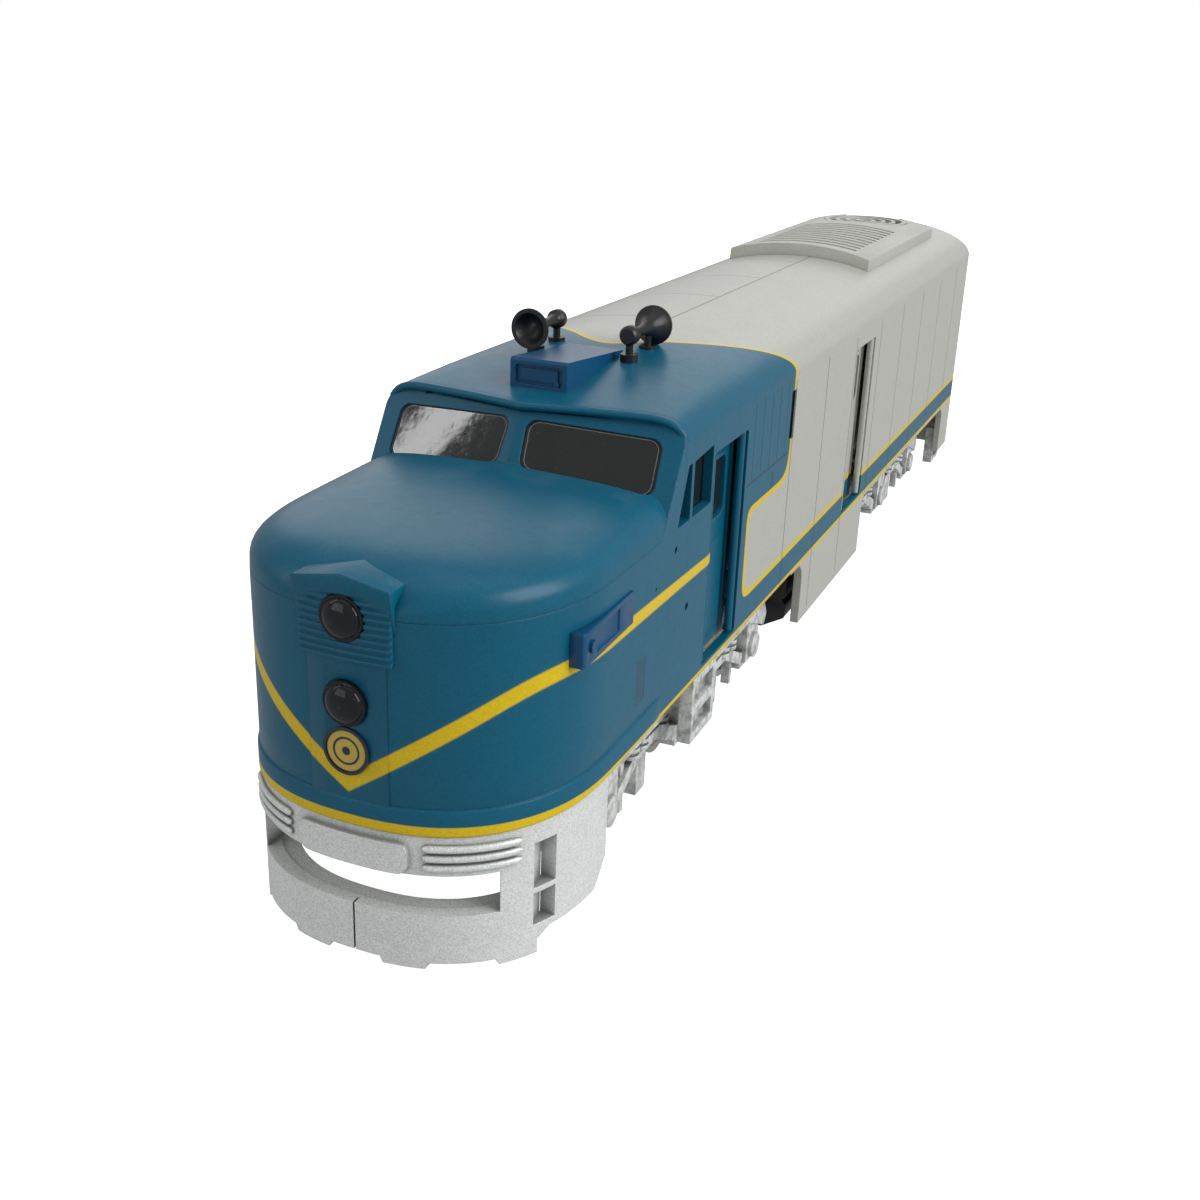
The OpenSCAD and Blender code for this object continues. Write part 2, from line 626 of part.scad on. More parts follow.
coupler_h = 10.5;           // centre of the coupler above the wheel flanges
coupler_post_at = 209;      // station of the coupler's pivot post
module coupler_box() color(black_plastic) translate([0, nose_y, 0]) difference() {
    union() {
        difference() {
            span([-3.6, 205.5, coupler_h - 1.7], [3.6, body_l + 1, 13.4]);
            // pocket for the shank, open to the rear
            translate([0, 0, coupler_h - 1.1]) linear_extrude(2.0)
                polygon([[-2.9, 206.5], [2.9, 206.5], [2.9, body_l + 2], [-2.9, body_l + 2]]);
        }
        translate([0, coupler_post_at, coupler_h - 2.6]) cylinder(r = 1.6, h = 1);
        translate([0, coupler_post_at, coupler_h - 1.2]) cylinder(r = 1.38, h = 2.2, $fn = 48);
    }
    translate([0, coupler_post_at, coupler_h - 4]) cylinder(r = 0.9, h = 9);
}

// knuckle coupler: round eye on a post, straight shank, hooked head
module rear_coupler() color(black_plastic) translate([0, nose_y, coupler_h]) {
    difference() {
        union() {
            translate([0, coupler_post_at, -0.9]) cylinder(r = 2.1, h = 1.6, $fn = 48);
            span([-1, coupler_post_at, -0.9], [1, body_l + 3.5, 0.7]);
            translate([0, body_l, -2]) linear_extrude(4) polygon(rounded([[-2.6, 3], [1.4, 3], [2.6, 4.6],
                [2.6, coupler_reach], [0.9, coupler_reach], [0.9, 5.9], [-1.2, 5.9], [-1.6, 7.2], [-2.8, 7]], 0.25));
        }
        translate([0, coupler_post_at, -2]) cylinder(r = 1.45, h = 4, $fn = 48);
    }
    // trip wire
    translate([0, body_l + 4.6, -2 - 3.2]) cylinder(r = 0.35, h = 3.4, $fn = 16);
}

// ---------- trucks: own frame, pivot at the origin, height from the wheel flanges ----------

axle_h = wheel_r + flange;
function gear_r(n) = n * gear_m / 2;
worm_gear_at = [0, shaft_h - 5.9];
outer_axle = [axle_step, axle_h];
idler_slope = 25;
outer_idler = outer_axle + (gear_r(axle_gear_n) + gear_r(idler_n)) * [-cos(idler_slope), sin(idler_slope)];
// the inner idler touches both the worm gear and the outer idler
near = gear_r(worm_gear_n) + gear_r(idler_n);
far = 2 * gear_r(idler_n);
gap = outer_idler - worm_gear_at;
reach = (near * near - far * far + gap * gap) / (2 * norm(gap));
inner_idler = worm_gear_at + reach * unit(gap) + sqrt(near * near - reach * reach) * unit([gap[1], -gap[0]]);

function angle_to(a, b) = atan2(b[1] - a[1], b[0] - a[0]);
// direction of one tooth of a gear of n_b teeth so that it meshes with one of n_a teeth at phase_a
function mesh_phase(phase_a, n_a, at_a, n_b, at_b) =
    let (t = angle_to(at_a, at_b)) t + 180 + (180 - (phase_a - t) * n_a) / n_b;
worm_gear_phase = 90;
inner_phase = mesh_phase(worm_gear_phase, worm_gear_n, worm_gear_at, idler_n, inner_idler);
outer_phase = mesh_phase(inner_phase, idler_n, inner_idler, idler_n, outer_idler);
axle_phase = mesh_phase(outer_phase, idler_n, outer_idler, axle_gear_n, outer_axle);

// tooth flanks as straight lines, thin enough to run free
function gear_outline(n, phase) = let (r = gear_r(n), p = 360 / n)
    [for (i = [0 : n - 1]) each [
        for (q = [[-0.31, -0.62], [-0.11, 0.38], [0.11, 0.38], [0.31, -0.62]])
            let (a = phase + (i + q[0]) * p) (r + q[1]) * [cos(a), sin(a)]]];
module gear(n, phase, at, w, bore) difference() {
    across(0, w) translate(at) polygon(gear_outline(n, phase));
    if (bore > 0) across(0, w + 1) translate(at) circle(r = bore, $fn = 48);
}

module on_truck(at) translate([0, nose_y + at, 0]) children();

// the motor side of the turret is open for the worm's drive cup; s gives that side
module gearbox(s) color(black_plastic) difference() {
    union() {
        // long case around the gear train
        across(0, 8.6) polygon([[-33, 3.2], [33, 3.2], [33, 10.6], [24, 15.2], [14, 19], [8.5, 19],
            [6.6, 21.4], [-6.6, 21.4], [-8.5, 19], [-14, 19], [-24, 15.2], [-33, 10.6]]);
        // bolster flange and pivot turret
        translate([0, 0, 20.6]) cylinder(r = 9.6, h = 1.2, $fn = 64);
        translate([0, 0, 21]) cylinder(r = turret_r, h = 5.6, $fn = 64);
    }
    // gear chamber, open at the bottom
    across(0, 4.4) polygon([[-32, 2], [32, 2], [32, 10.2], [23.6, 14.6], [13.6, 18.3], [5.8, 18.3],
        [5.4, 30], [-5.4, 30], [-5.8, 18.3], [-13.6, 18.3], [-23.6, 14.6], [-32, 10.2]]);
    // worm chamber, and the wider way for its cup
    span([-2.6, -5.4, shaft_h - 3], [2.6, 5.4, 30]);
    mirror([0, s < 0 ? 1 : 0, 0]) span([-3.7, 4.9, shaft_h - 3.7], [3.7, 20, 30]);
    across(0, 30) for (y = [-axle_step, 0, axle_step]) translate([y, axle_h]) circle(r = 1.25, $fn = 48);
    across(0, 30) gear_axes() circle(r = 0.75, $fn = 48);
}

// the five fixed gear axes of a truck
module gear_axes() {
    translate(worm_gear_at) children();
    for (s = [-1, 1]) for (p = [inner_idler, outer_idler]) translate([s * p[0], p[1]]) children();
}

module gear_pins() color(steel) across(0, 8.6) gear_axes() circle(r = 0.75, $fn = 48);

frame_in = 11.6;            // inner face of the side frames
// one coil spring of the truck, as stacked turns round a core
module coil_spring(y, low, high) translate([frame_in + 1.7, y, 0]) {
    translate([0, 0, low]) cylinder(r = 0.8, h = high - low, $fn = 24);
    for (z = [low + 0.2 : 0.9 : high - 0.6]) translate([0, 0, z]) cylinder(r = 1.2, h = 0.5, $fn = 24);
}

// left-hand side frame: top bar, equaliser, journal boxes, springs and brake gear
module side_frame() {
    across(frame_in + 1.6, 2.6) polygon(rounded([[-33, 9.4], [-31, 12.6], [-20, 14.2], [20, 14.2],
        [31, 12.6], [33, 9.4], [32, 7.6], [30, 8.6], [24, 10.8], [-24, 10.8], [-30, 8.6], [-32, 7.6]], 0.7));
    across(frame_in + 1.4, 1.6) polygon(rounded([[-27, 5.2], [-23, 4.6], [-16, 8], [-11, 8], [-4, 4.6],
        [4, 4.6], [11, 8], [16, 8], [23, 4.6], [27, 5.2], [23, 6.4], [17, 9.4], [10, 9.4], [3, 6.4],
        [-3, 6.4], [-10, 9.4], [-17, 9.4], [-23, 6.4]], 0.3));
    for (y = [-axle_step, 0, axle_step]) {
        span([frame_in, y - 2.7, 4.4], [frame_in + 2.7, y + 2.7, 11.4]);
        translate([frame_in + 2.6, y, axle_h]) rotate([0, 90, 0]) cylinder(r = 1.9, h = 0.7);
        span([frame_in, y - 3.4, 3.5], [frame_in + 2.1, y + 3.4, 4.5]);
    }
    for (y = [-18.4, -15.4, -8.7, 8.7, 15.4, 18.4]) coil_spring(y, 8.8, 12.6);
    for (s = [-1, 1]) translate([frame_in + 2, s * 12, 12.4]) rotate([90, 0, 0])
        cylinder(r = 1.3, h = 5, center = true);
    for (s = [-1, 1]) span([frame_in + 0.5, s * 20.5 - 0.5, 2.6], [frame_in + 1.7, s * 20.5 + 0.5, 11]);
}

module side_frames() color(silver) {
    both_sides() side_frame();
    // cross members that clip under the gearbox
    for (y = [-13.5, 13.5]) span([-frame_in - 1, y - 1.5, 1.9], [frame_in + 1, y + 1.5, 3.1]);
    both_sides() for (y = [-13.5, 13.5]) span([frame_in + 0.4, y - 1.5, 1.9], [frame_in + 1.4, y + 1.5, 9.4]);
}

module wheel_profile() polygon([[1.0, 0], [axle_h, 0], [axle_h, 0.25], [axle_h - 0.15, 0.7],
    [wheel_r, 0.85], [wheel_r - 0.06, 2.8], [wheel_r - 0.9, 2.8], [wheel_r - 1.3, 2.3],
    [2.6, 2.1], [2.2, 2.8], [1.0, 2.8]]);

// driven wheelsets carry a gear at phase; phase undef leaves it out
module wheelset(y, phase) translate([0, y, axle_h]) {
    color(steel) both_sides() translate([back_to_back / 2, 0, 0]) rotate([0, 90, 0])
        rotate_extrude($fn = 64) wheel_profile();
    color(steel) rotate([0, 90, 0]) rotate_extrude($fn = 48) polygon([[0, -11.3], [1.2, -9.9],
        [1.2, 9.9], [0, 11.3]]);
    if (!is_undef(phase)) color(white_plastic) gear(axle_gear_n, phase, [0, 0], 3.6, 0);
}

// right-handed worm with a drive cup at the motor end; s gives that end
worm_pitch = PI * gear_m;
worm_turns = 5;
cup_low = 5.2;
cup_high = 12.2;
module worm(s) color(black_plastic) translate([0, 0, shaft_h]) {
    translate([0, -worm_turns * worm_pitch / 2, 0]) rotate([-90, 0, 0])
        linear_extrude(worm_turns * worm_pitch, twist = -360 * worm_turns, slices = 12 * worm_turns)
            rotate(90) polygon([for (a = [0 : 24 : 336])
                (1.5 + 0.6 * pow((1 + cos(a)) / 2, 2)) * [cos(a), sin(a)]]);
    along(-5.2, 5.4) circle(r = 1.35, $fn = 32);
    mirror([0, s < 0 ? 1 : 0, 0]) difference() {
        along(cup_low, cup_high) circle(r = 3.4, $fn = 48);
        along(cup_low + 1.6, cup_high + 1) circle(r = 2.95, $fn = 48);
    }
}

module idler(sign_y, p, phase) color(white_plastic) mirror([0, sign_y < 0 ? 1 : 0, 0])
    gear(idler_n, phase, p, 3.6, 0.8);

module front_gearbox() on_truck(front_truck_at) gearbox(1);
module front_side_frames() on_truck(front_truck_at) side_frames();
module front_gear_pins() on_truck(front_truck_at) gear_pins();
module front_worm() on_truck(front_truck_at) worm(1);
module front_worm_gear() on_truck(front_truck_at) color(white_plastic)
    gear(worm_gear_n, worm_gear_phase, worm_gear_at, 3.6, 0.8);
module front_idler_1() on_truck(front_truck_at) idler(-1, outer_idler, outer_phase);
module front_idler_2() on_truck(front_truck_at) idler(-1, inner_idler, inner_phase);
module front_idler_3() on_truck(front_truck_at) idler(1, inner_idler, inner_phase);
module front_idler_4() on_truck(front_truck_at) idler(1, outer_idler, outer_phase);
module front_wheelset_1() on_truck(front_truck_at) wheelset(-axle_step, 180 - axle_phase);
module front_wheelset_2() on_truck(front_truck_at) wheelset(0, undef);
module front_wheelset_3() on_truck(front_truck_at) wheelset(axle_step, axle_phase);

module rear_gearbox() on_truck(rear_truck_at) gearbox(-1);
module rear_side_frames() on_truck(rear_truck_at) side_frames();
module rear_gear_pins() on_truck(rear_truck_at) gear_pins();
module rear_worm() on_truck(rear_truck_at) worm(-1);
module rear_worm_gear() on_truck(rear_truck_at) color(white_plastic)
    gear(worm_gear_n, worm_gear_phase, worm_gear_at, 3.6, 0.8);
module rear_idler_1() on_truck(rear_truck_at) idler(-1, outer_idler, outer_phase);
module rear_idler_2() on_truck(rear_truck_at) idler(-1, inner_idler, inner_phase);
module rear_idler_3() on_truck(rear_truck_at) idler(1, inner_idler, inner_phase);
module rear_idler_4() on_truck(rear_truck_at) idler(1, outer_idler, outer_phase);
module rear_wheelset_1() on_truck(rear_truck_at) wheelset(-axle_step, 180 - axle_phase);
module rear_wheelset_2() on_truck(rear_truck_at) wheelset(0, undef);
module rear_wheelset_3() on_truck(rear_truck_at) wheelset(axle_step, axle_phase);

// ---------- drawing ----------

body_shell();
pilot();
nose_door_panel();
nose_badge();
upper_headlight_lens();
lower_headlight_lens();
windshield_glazing();
side_window_glazing();
left_number_board();
right_number_board();
class_lamp_lenses();
roof_wedge_housing();
left_horn();
right_horn();
cab_handrails();
engine_door_handrails();
cab_ladders();
radiator_fan_grille();
roof_hatch();
rear_diaphragm();
rear_steps();
chassis_frame();
fuel_tank();
motor_case();
motor_shaft();
front_flywheel();
rear_flywheel();
front_drive_shaft();
rear_drive_shaft();
circuit_board();
light_pipe();
coupler_box();
rear_coupler();
body_screws();
front_gearbox();
front_side_frames();
front_gear_pins();
front_worm();
front_worm_gear();
front_idler_1();
front_idler_2();
front_idler_3();
front_idler_4();
front_wheelset_1();
front_wheelset_2();
front_wheelset_3();
rear_gearbox();
rear_side_frames();
rear_gear_pins();
rear_worm();
rear_worm_gear();
rear_idler_1();
rear_idler_2();
rear_idler_3();
rear_idler_4();
rear_wheelset_1();
rear_wheelset_2();
rear_wheelset_3();
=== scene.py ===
import json
import math

import bmesh
import bpy
import numpy as np
from mathutils import Matrix, Vector


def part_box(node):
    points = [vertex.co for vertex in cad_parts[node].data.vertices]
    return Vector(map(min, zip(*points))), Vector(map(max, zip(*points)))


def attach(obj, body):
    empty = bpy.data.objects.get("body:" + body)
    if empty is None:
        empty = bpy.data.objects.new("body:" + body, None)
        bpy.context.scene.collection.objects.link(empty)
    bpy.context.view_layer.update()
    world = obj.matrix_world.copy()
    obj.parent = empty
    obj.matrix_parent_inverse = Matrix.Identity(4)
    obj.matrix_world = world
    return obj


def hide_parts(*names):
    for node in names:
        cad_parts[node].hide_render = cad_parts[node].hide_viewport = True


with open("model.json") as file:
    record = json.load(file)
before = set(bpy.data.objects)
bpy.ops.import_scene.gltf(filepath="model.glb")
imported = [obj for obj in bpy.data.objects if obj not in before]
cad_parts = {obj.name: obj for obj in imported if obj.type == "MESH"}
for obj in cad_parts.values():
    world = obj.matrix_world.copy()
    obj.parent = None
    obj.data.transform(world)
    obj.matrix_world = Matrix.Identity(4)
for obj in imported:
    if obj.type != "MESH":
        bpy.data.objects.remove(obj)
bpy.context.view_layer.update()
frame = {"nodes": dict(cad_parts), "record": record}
NODES = frame["nodes"]
BODY_OF = {n: b for b, ns in frame["record"]["behaviour"]["bodies"].items() for n in ns}
SLOT_OF = {s["node"]: s["material_slot"] for s in frame["record"]["subparts"]}

MM = 0.001


def mid(node):
    """Middle of a node's box, in millimetres."""
    low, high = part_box(node)
    return (low + high) / 2 / MM


# ---------- driving sizes, in millimetres ----------
# Stations run back from the tip of the nose, heights up from the sill of the painted body.
FRONT_TRUCK = 60.0                         # stations of the two trucks
REAR_TRUCK = 170.0
WELL_REACH = 36.5                          # half the length of a truck's opening in the skirt
NOSE_Y = mid("front_wheelset_2").y - FRONT_TRUCK
SILL = 17.3                                # sill above the wheel flanges
HALF = 18.5                                # half the body's width
LENGTH = 216.0                             # station of the flat rear end
WALL = 1.2                                 # moulded wall
EAVE = 30.8                                # top of the straight side
RISE = 6.2                                 # roof arch above the eave
NOSE_FACE = 1.9                            # station of the nose face
NOSE_ROUND = 20.1                          # length of the rounded part of the nose
NOSE_SIDE = 22.0                           # height of the nose sides
SCREEN_FOOT = 34.6                         # station where the windshield meets the nose at the centre
SCREEN_BASE = 27.8                         # its height there
SCREEN_RAKE = math.radians(31)
SCREEN_SWEEP = math.radians(11)
BROW = 33.0                                # underside of the brow
BROW_Y = 37.2                              # station of the brow at the centre
DOORS = (50.8, 118.4)                      # front edges of the cab and engine-room doors
DOOR_W = 12.6
DOOR_DEPTH = 1.9                           # how deep a door leaf stands in its recess
FAN_AT = 196.0                             # station of the round radiator opening in the roof
FAN_RADIUS = 8.2
SKIRT_FOOT = -10.2                         # bottom of the side skirts
PILOT_FOOT = -15.2
PILOT_BACK = 22.5                          # station where the pilot's sides end
PILOT_WALL = 1.6
COUPLER_SLOT = (13.7, -9.0, -4.4)          # half-width, bottom and top of the opening in the pilot
LAMPS = (21.6, 13.0)                       # heights of the two headlights
BADGE = 8.0                                # height of the round badge
FALL_FROM = 66.0                           # station where the cab roof is at full height
ROOF_FALL = math.radians(6)                # its slope towards the brow
BAND = 0.2                                 # how far the base band stands out round the nose
BAND_TOP = 2.9
BAND_END = 36.4
SWEEP_FROM = 61.5                          # station where the silver starts on the roof's centre line
SWEEP_BACK = 22.1                          # how much further back it starts on the sides
TONGUE_FRONT = 66.0                        # silver tongue along the side, behind the cab door
TONGUE_TOP = 16.2                          # its top edge, level with the stripe from the nose
BELT_TOP = 4.6                             # top of the blue belt under the silver
SLOT = (82.2, 21.6, 84.4, 28.4)            # upright slot behind the louvres: station, height, station, height


def at(x, station, height):
    """Point of the scene, in metres, from millimetres of the body."""
    return Vector((x, NOSE_Y + station, SILL + height)) * MM


# ---------- shader arithmetic ----------

class Num:
    """A number in a node tree: sums, products and the functions below add math nodes."""

    def __init__(self, tree, value):
        self.tree = tree
        self.value = value

    def _math(self, kind, *others):
        node = self.tree.nodes.new("ShaderNodeMath")
        node.operation = kind
        for socket, item in zip(node.inputs, (self,) + others):
            value = item.value if isinstance(item, Num) else item
            if isinstance(value, (int, float)):
                socket.default_value = value
            else:
                self.tree.links.new(value, socket)
        return Num(self.tree, node.outputs[0])

    def __add__(self, other):
        return self._math("ADD", other)

    def __sub__(self, other):
        return self._math("SUBTRACT", other)

    def __rsub__(self, other):
        return Num(self.tree, float(other))._math("SUBTRACT", self)

    def __mul__(self, other):
        return self._math("MULTIPLY", other)

    def __truediv__(self, other):
        return self._math("DIVIDE", other)

    def __abs__(self):
        return self._math("ABSOLUTE")

    def low(self, other, soft=0.0):
        """The smaller number, the crossing rounded over soft."""
        return self._math("SMOOTH_MIN", other, soft) if soft else self._math("MINIMUM", other)

    def high(self, other, soft=0.0):
        """The larger number, the crossing rounded over soft."""
        return self._math("SMOOTH_MAX", other, soft) if soft else self._math("MAXIMUM", other)

    def power(self, other):
        return self._math("POWER", other)

    def wave(self, pitch):
        """Distance to the nearest multiple of pitch."""
        return self._math("PINGPONG", pitch / 2)

    def step(self, a, b):
        """0 below a, 1 above b, smooth between."""
        node = self.tree.nodes.new("ShaderNodeMapRange")
        node.interpolation_type = "SMOOTHSTEP"
        self.tree.links.new(self.value, node.inputs["Value"])
        node.inputs["From Min"].default_value = a
        node.inputs["From Max"].default_value = b
        return Num(self.tree, node.outputs[0])


class Finish:
    """A procedural material; lengths in its textures are in millimetres of the part's frame."""

    def __init__(self, name, color, roughness, metallic=0.0, coat=0.0, coat_roughness=0.1):
        self.material = bpy.data.materials.new(name)
        self.material.use_nodes = True
        self.tree = self.material.node_tree
        self.shader = self.tree.nodes["Principled BSDF"]
        self.material.diffuse_color = (*color, 1)
        self.set("Base Color", (*color, 1))
        self.set("Roughness", roughness)
        self.set("Metallic", metallic)
        self.set("IOR", 1.5)
        self.set("Coat Weight", coat)
        self.set("Coat Roughness", coat_roughness)
        self.base = (*color, 1)
        self.roughness = roughness
        coordinate = self.tree.nodes.new("ShaderNodeTexCoord")
        scale = self.tree.nodes.new("ShaderNodeVectorMath")
        scale.operation = "MULTIPLY_ADD"
        self.tree.links.new(coordinate.outputs["Object"], scale.inputs[0])
        scale.inputs[1].default_value = (1 / MM,) * 3
        scale.inputs[2].default_value = (0, -NOSE_Y, -SILL)
        self.place = scale.outputs[0]
        split = self.tree.nodes.new("ShaderNodeSeparateXYZ")
        self.tree.links.new(self.place, split.inputs[0])
        self.x, self.station, self.height = (Num(self.tree, s) for s in split.outputs)
        self.bumps = None

    def set(self, socket, value):
        self.shader.inputs[socket].default_value = value

    def noise(self, size, detail=2.0, stretch=(1, 1, 1), rough=0.5):
        """Cloudy noise whose features are about size millimetres."""
        node = self.tree.nodes.new("ShaderNodeTexNoise")
        node.inputs["Scale"].default_value = 1 / size
        node.inputs["Detail"].default_value = detail
        node.inputs["Roughness"].default_value = rough
        source = self.place
        if stretch != (1, 1, 1):
            squeeze = self.tree.nodes.new("ShaderNodeVectorMath")
            squeeze.operation = "DIVIDE"
            self.tree.links.new(self.place, squeeze.inputs[0])
            squeeze.inputs[1].default_value = stretch
            source = squeeze.outputs[0]
        self.tree.links.new(source, node.inputs["Vector"])
        return Num(self.tree, node.outputs["Fac"])

    def cells(self, size):
        """A random number for each cell of about size millimetres."""
        node = self.tree.nodes.new("ShaderNodeTexVoronoi")
        node.inputs["Scale"].default_value = 1 / size
        self.tree.links.new(self.place, node.inputs["Vector"])
        split = self.tree.nodes.new("ShaderNodeSeparateColor")
        self.tree.links.new(node.outputs["Color"], split.inputs[0])
        return Num(self.tree, split.outputs[0])

    def edge(self, radius):
        """1 on edges sharper than the radius, fading to 0 on flat ground."""
        bevel = self.tree.nodes.new("ShaderNodeBevel")
        bevel.samples = 6
        bevel.inputs["Radius"].default_value = radius * MM
        geometry = self.tree.nodes.new("ShaderNodeNewGeometry")
        dot = self.tree.nodes.new("ShaderNodeVectorMath")
        dot.operation = "DOT_PRODUCT"
        self.tree.links.new(bevel.outputs[0], dot.inputs[0])
        self.tree.links.new(geometry.outputs["Normal"], dot.inputs[1])
        return (1.0 - Num(self.tree, dot.outputs["Value"])).step(0.01, 0.22)

    def cavity(self, reach):
        """1 deep in corners within reach millimetres, 0 on open ground."""
        shade = self.tree.nodes.new("ShaderNodeAmbientOcclusion")
        shade.samples = 8
        shade.inputs["Distance"].default_value = reach * MM
        return 1.0 - Num(self.tree, shade.outputs["AO"]).step(0.35, 1.0)

    def upward(self):
        """1 where the surface faces up."""
        geometry = self.tree.nodes.new("ShaderNodeNewGeometry")
        split = self.tree.nodes.new("ShaderNodeSeparateXYZ")
        self.tree.links.new(geometry.outputs["Normal"], split.inputs[0])
        return Num(self.tree, split.outputs[2]).step(0.55, 1.0)

    def mix(self, mask, color):
        """Lay a colour over what is there, as far as mask says."""
        node = self.tree.nodes.new("ShaderNodeMix")
        node.data_type = "RGBA"
        self.tree.links.new(mask.value, node.inputs["Factor"])
        if isinstance(self.base, tuple):
            node.inputs[6].default_value = self.base
        else:
            self.tree.links.new(self.base, node.inputs[6])
        node.inputs[7].default_value = (*color, 1)
        self.base = node.outputs[2]

    def vary(self, value, low, high):
        """Multiply the colour by a number between low and high, led by value from 0 to 1."""
        tone = value * (high - low) + low
        node = self.tree.nodes.new("ShaderNodeMix")
        node.data_type = "RGBA"
        node.blend_type = "MULTIPLY"
        node.inputs["Factor"].default_value = 1.0
        if isinstance(self.base, tuple):
            node.inputs[6].default_value = self.base
        else:
            self.tree.links.new(self.base, node.inputs[6])
        gray = self.tree.nodes.new("ShaderNodeCombineColor")
        for k in range(3):
            self.tree.links.new(tone.value, gray.inputs[k])
        self.tree.links.new(gray.outputs[0], node.inputs[7])
        self.base = node.outputs[2]

    def rough(self, value):
        self.roughness = value

    def bump(self, height, depth):
        """Raise the surface by height times depth millimetres, on top of earlier bumps."""
        node = self.tree.nodes.new("ShaderNodeBump")
        node.inputs["Distance"].default_value = depth * MM
        node.inputs["Strength"].default_value = 1.0
        self.tree.links.new(height.value, node.inputs["Height"])
        if self.bumps is not None:
            self.tree.links.new(self.bumps, node.inputs["Normal"])
        self.bumps = node.outputs[0]

    def round_edges(self, radius):
        """Start the normal from one that rounds sharp edges."""
        bevel = self.tree.nodes.new("ShaderNodeBevel")
        bevel.samples = 6
        bevel.inputs["Radius"].default_value = radius * MM
        self.bumps = bevel.outputs[0]

    def done(self):
        if not isinstance(self.base, tuple):
            self.tree.links.new(self.base, self.shader.inputs["Base Color"])
        if isinstance(self.roughness, Num):
            self.tree.links.new(self.roughness.value, self.shader.inputs["Roughness"])
        if self.bumps is not None:
            self.tree.links.new(self.bumps, self.shader.inputs["Normal"])
        return self.material


# ---------- colours ----------

BLUE = (0.002, 0.112, 0.195)
DEEP_BLUE = (0.003, 0.075, 0.180)
YELLOW = (0.76, 0.54, 0.010)
SILVER = (0.90, 0.93, 0.91)
BODY_SILVER = (0.49, 0.50, 0.45)
FLOOR_GLOW = 0.86                          # back-lit floor, as bright as the surroundings seen above it


def line(distance, half, soft=0.12):
    """Ink on a line: 1 within half a width of it."""
    return 1.0 - distance.step(half - soft, half + soft)


def inside(value, low, high, soft=0.1):
    """1 while value is between low and high."""
    return value.step(low - soft, low + soft) * (1.0 - value.step(high - soft, high + soft))


def body_seams(f, across):
    """Panel joints: battens along the sides, louvre panels behind the cab door, hatch edges on the roof."""
    side = across.step(HALF - 0.3, HALF - 0.1)
    batten = line((f.station - 84).wave(17.0), 0.13, 0.05)
    batten = batten * inside(f.station, 83, 206) * inside(f.height, -9, 29.6)
    louvre = line((f.station - 66).wave(3.6), 0.13, 0.05)
    louvre = louvre * inside(f.station, 65.5, 82) * inside(f.height, 20, 30.2)
    louvre_foot = line(abs(f.height - 20), 0.12, 0.05) * inside(f.station, 64, 82)
    latch = line(abs(f.station - 75.4).high(abs(f.height - 18.0) * 0.5), 0.45, 0.08)
    hatch = line(abs(f.station - 30).high(abs(f.height - 7.6) * 0.5) - 1.3, 0.0, 0.1) * 0.6
    roof = f.height.step(EAVE + 2, EAVE + 2.4)
    long_edge = line(abs(abs(f.x + 5) - 7), 0.12, 0.05) * inside(f.station, 78, 160)
    cross_edge = line((f.station - 78).wave(20.5), 0.12, 0.05)
    cross_edge = cross_edge * inside(f.station, 77, 161) * inside(f.x, -12, 2)
    on_side = batten.high(louvre).high(louvre_foot).high(latch).high(hatch)
    return side * on_side + roof * long_edge.high(cross_edge)


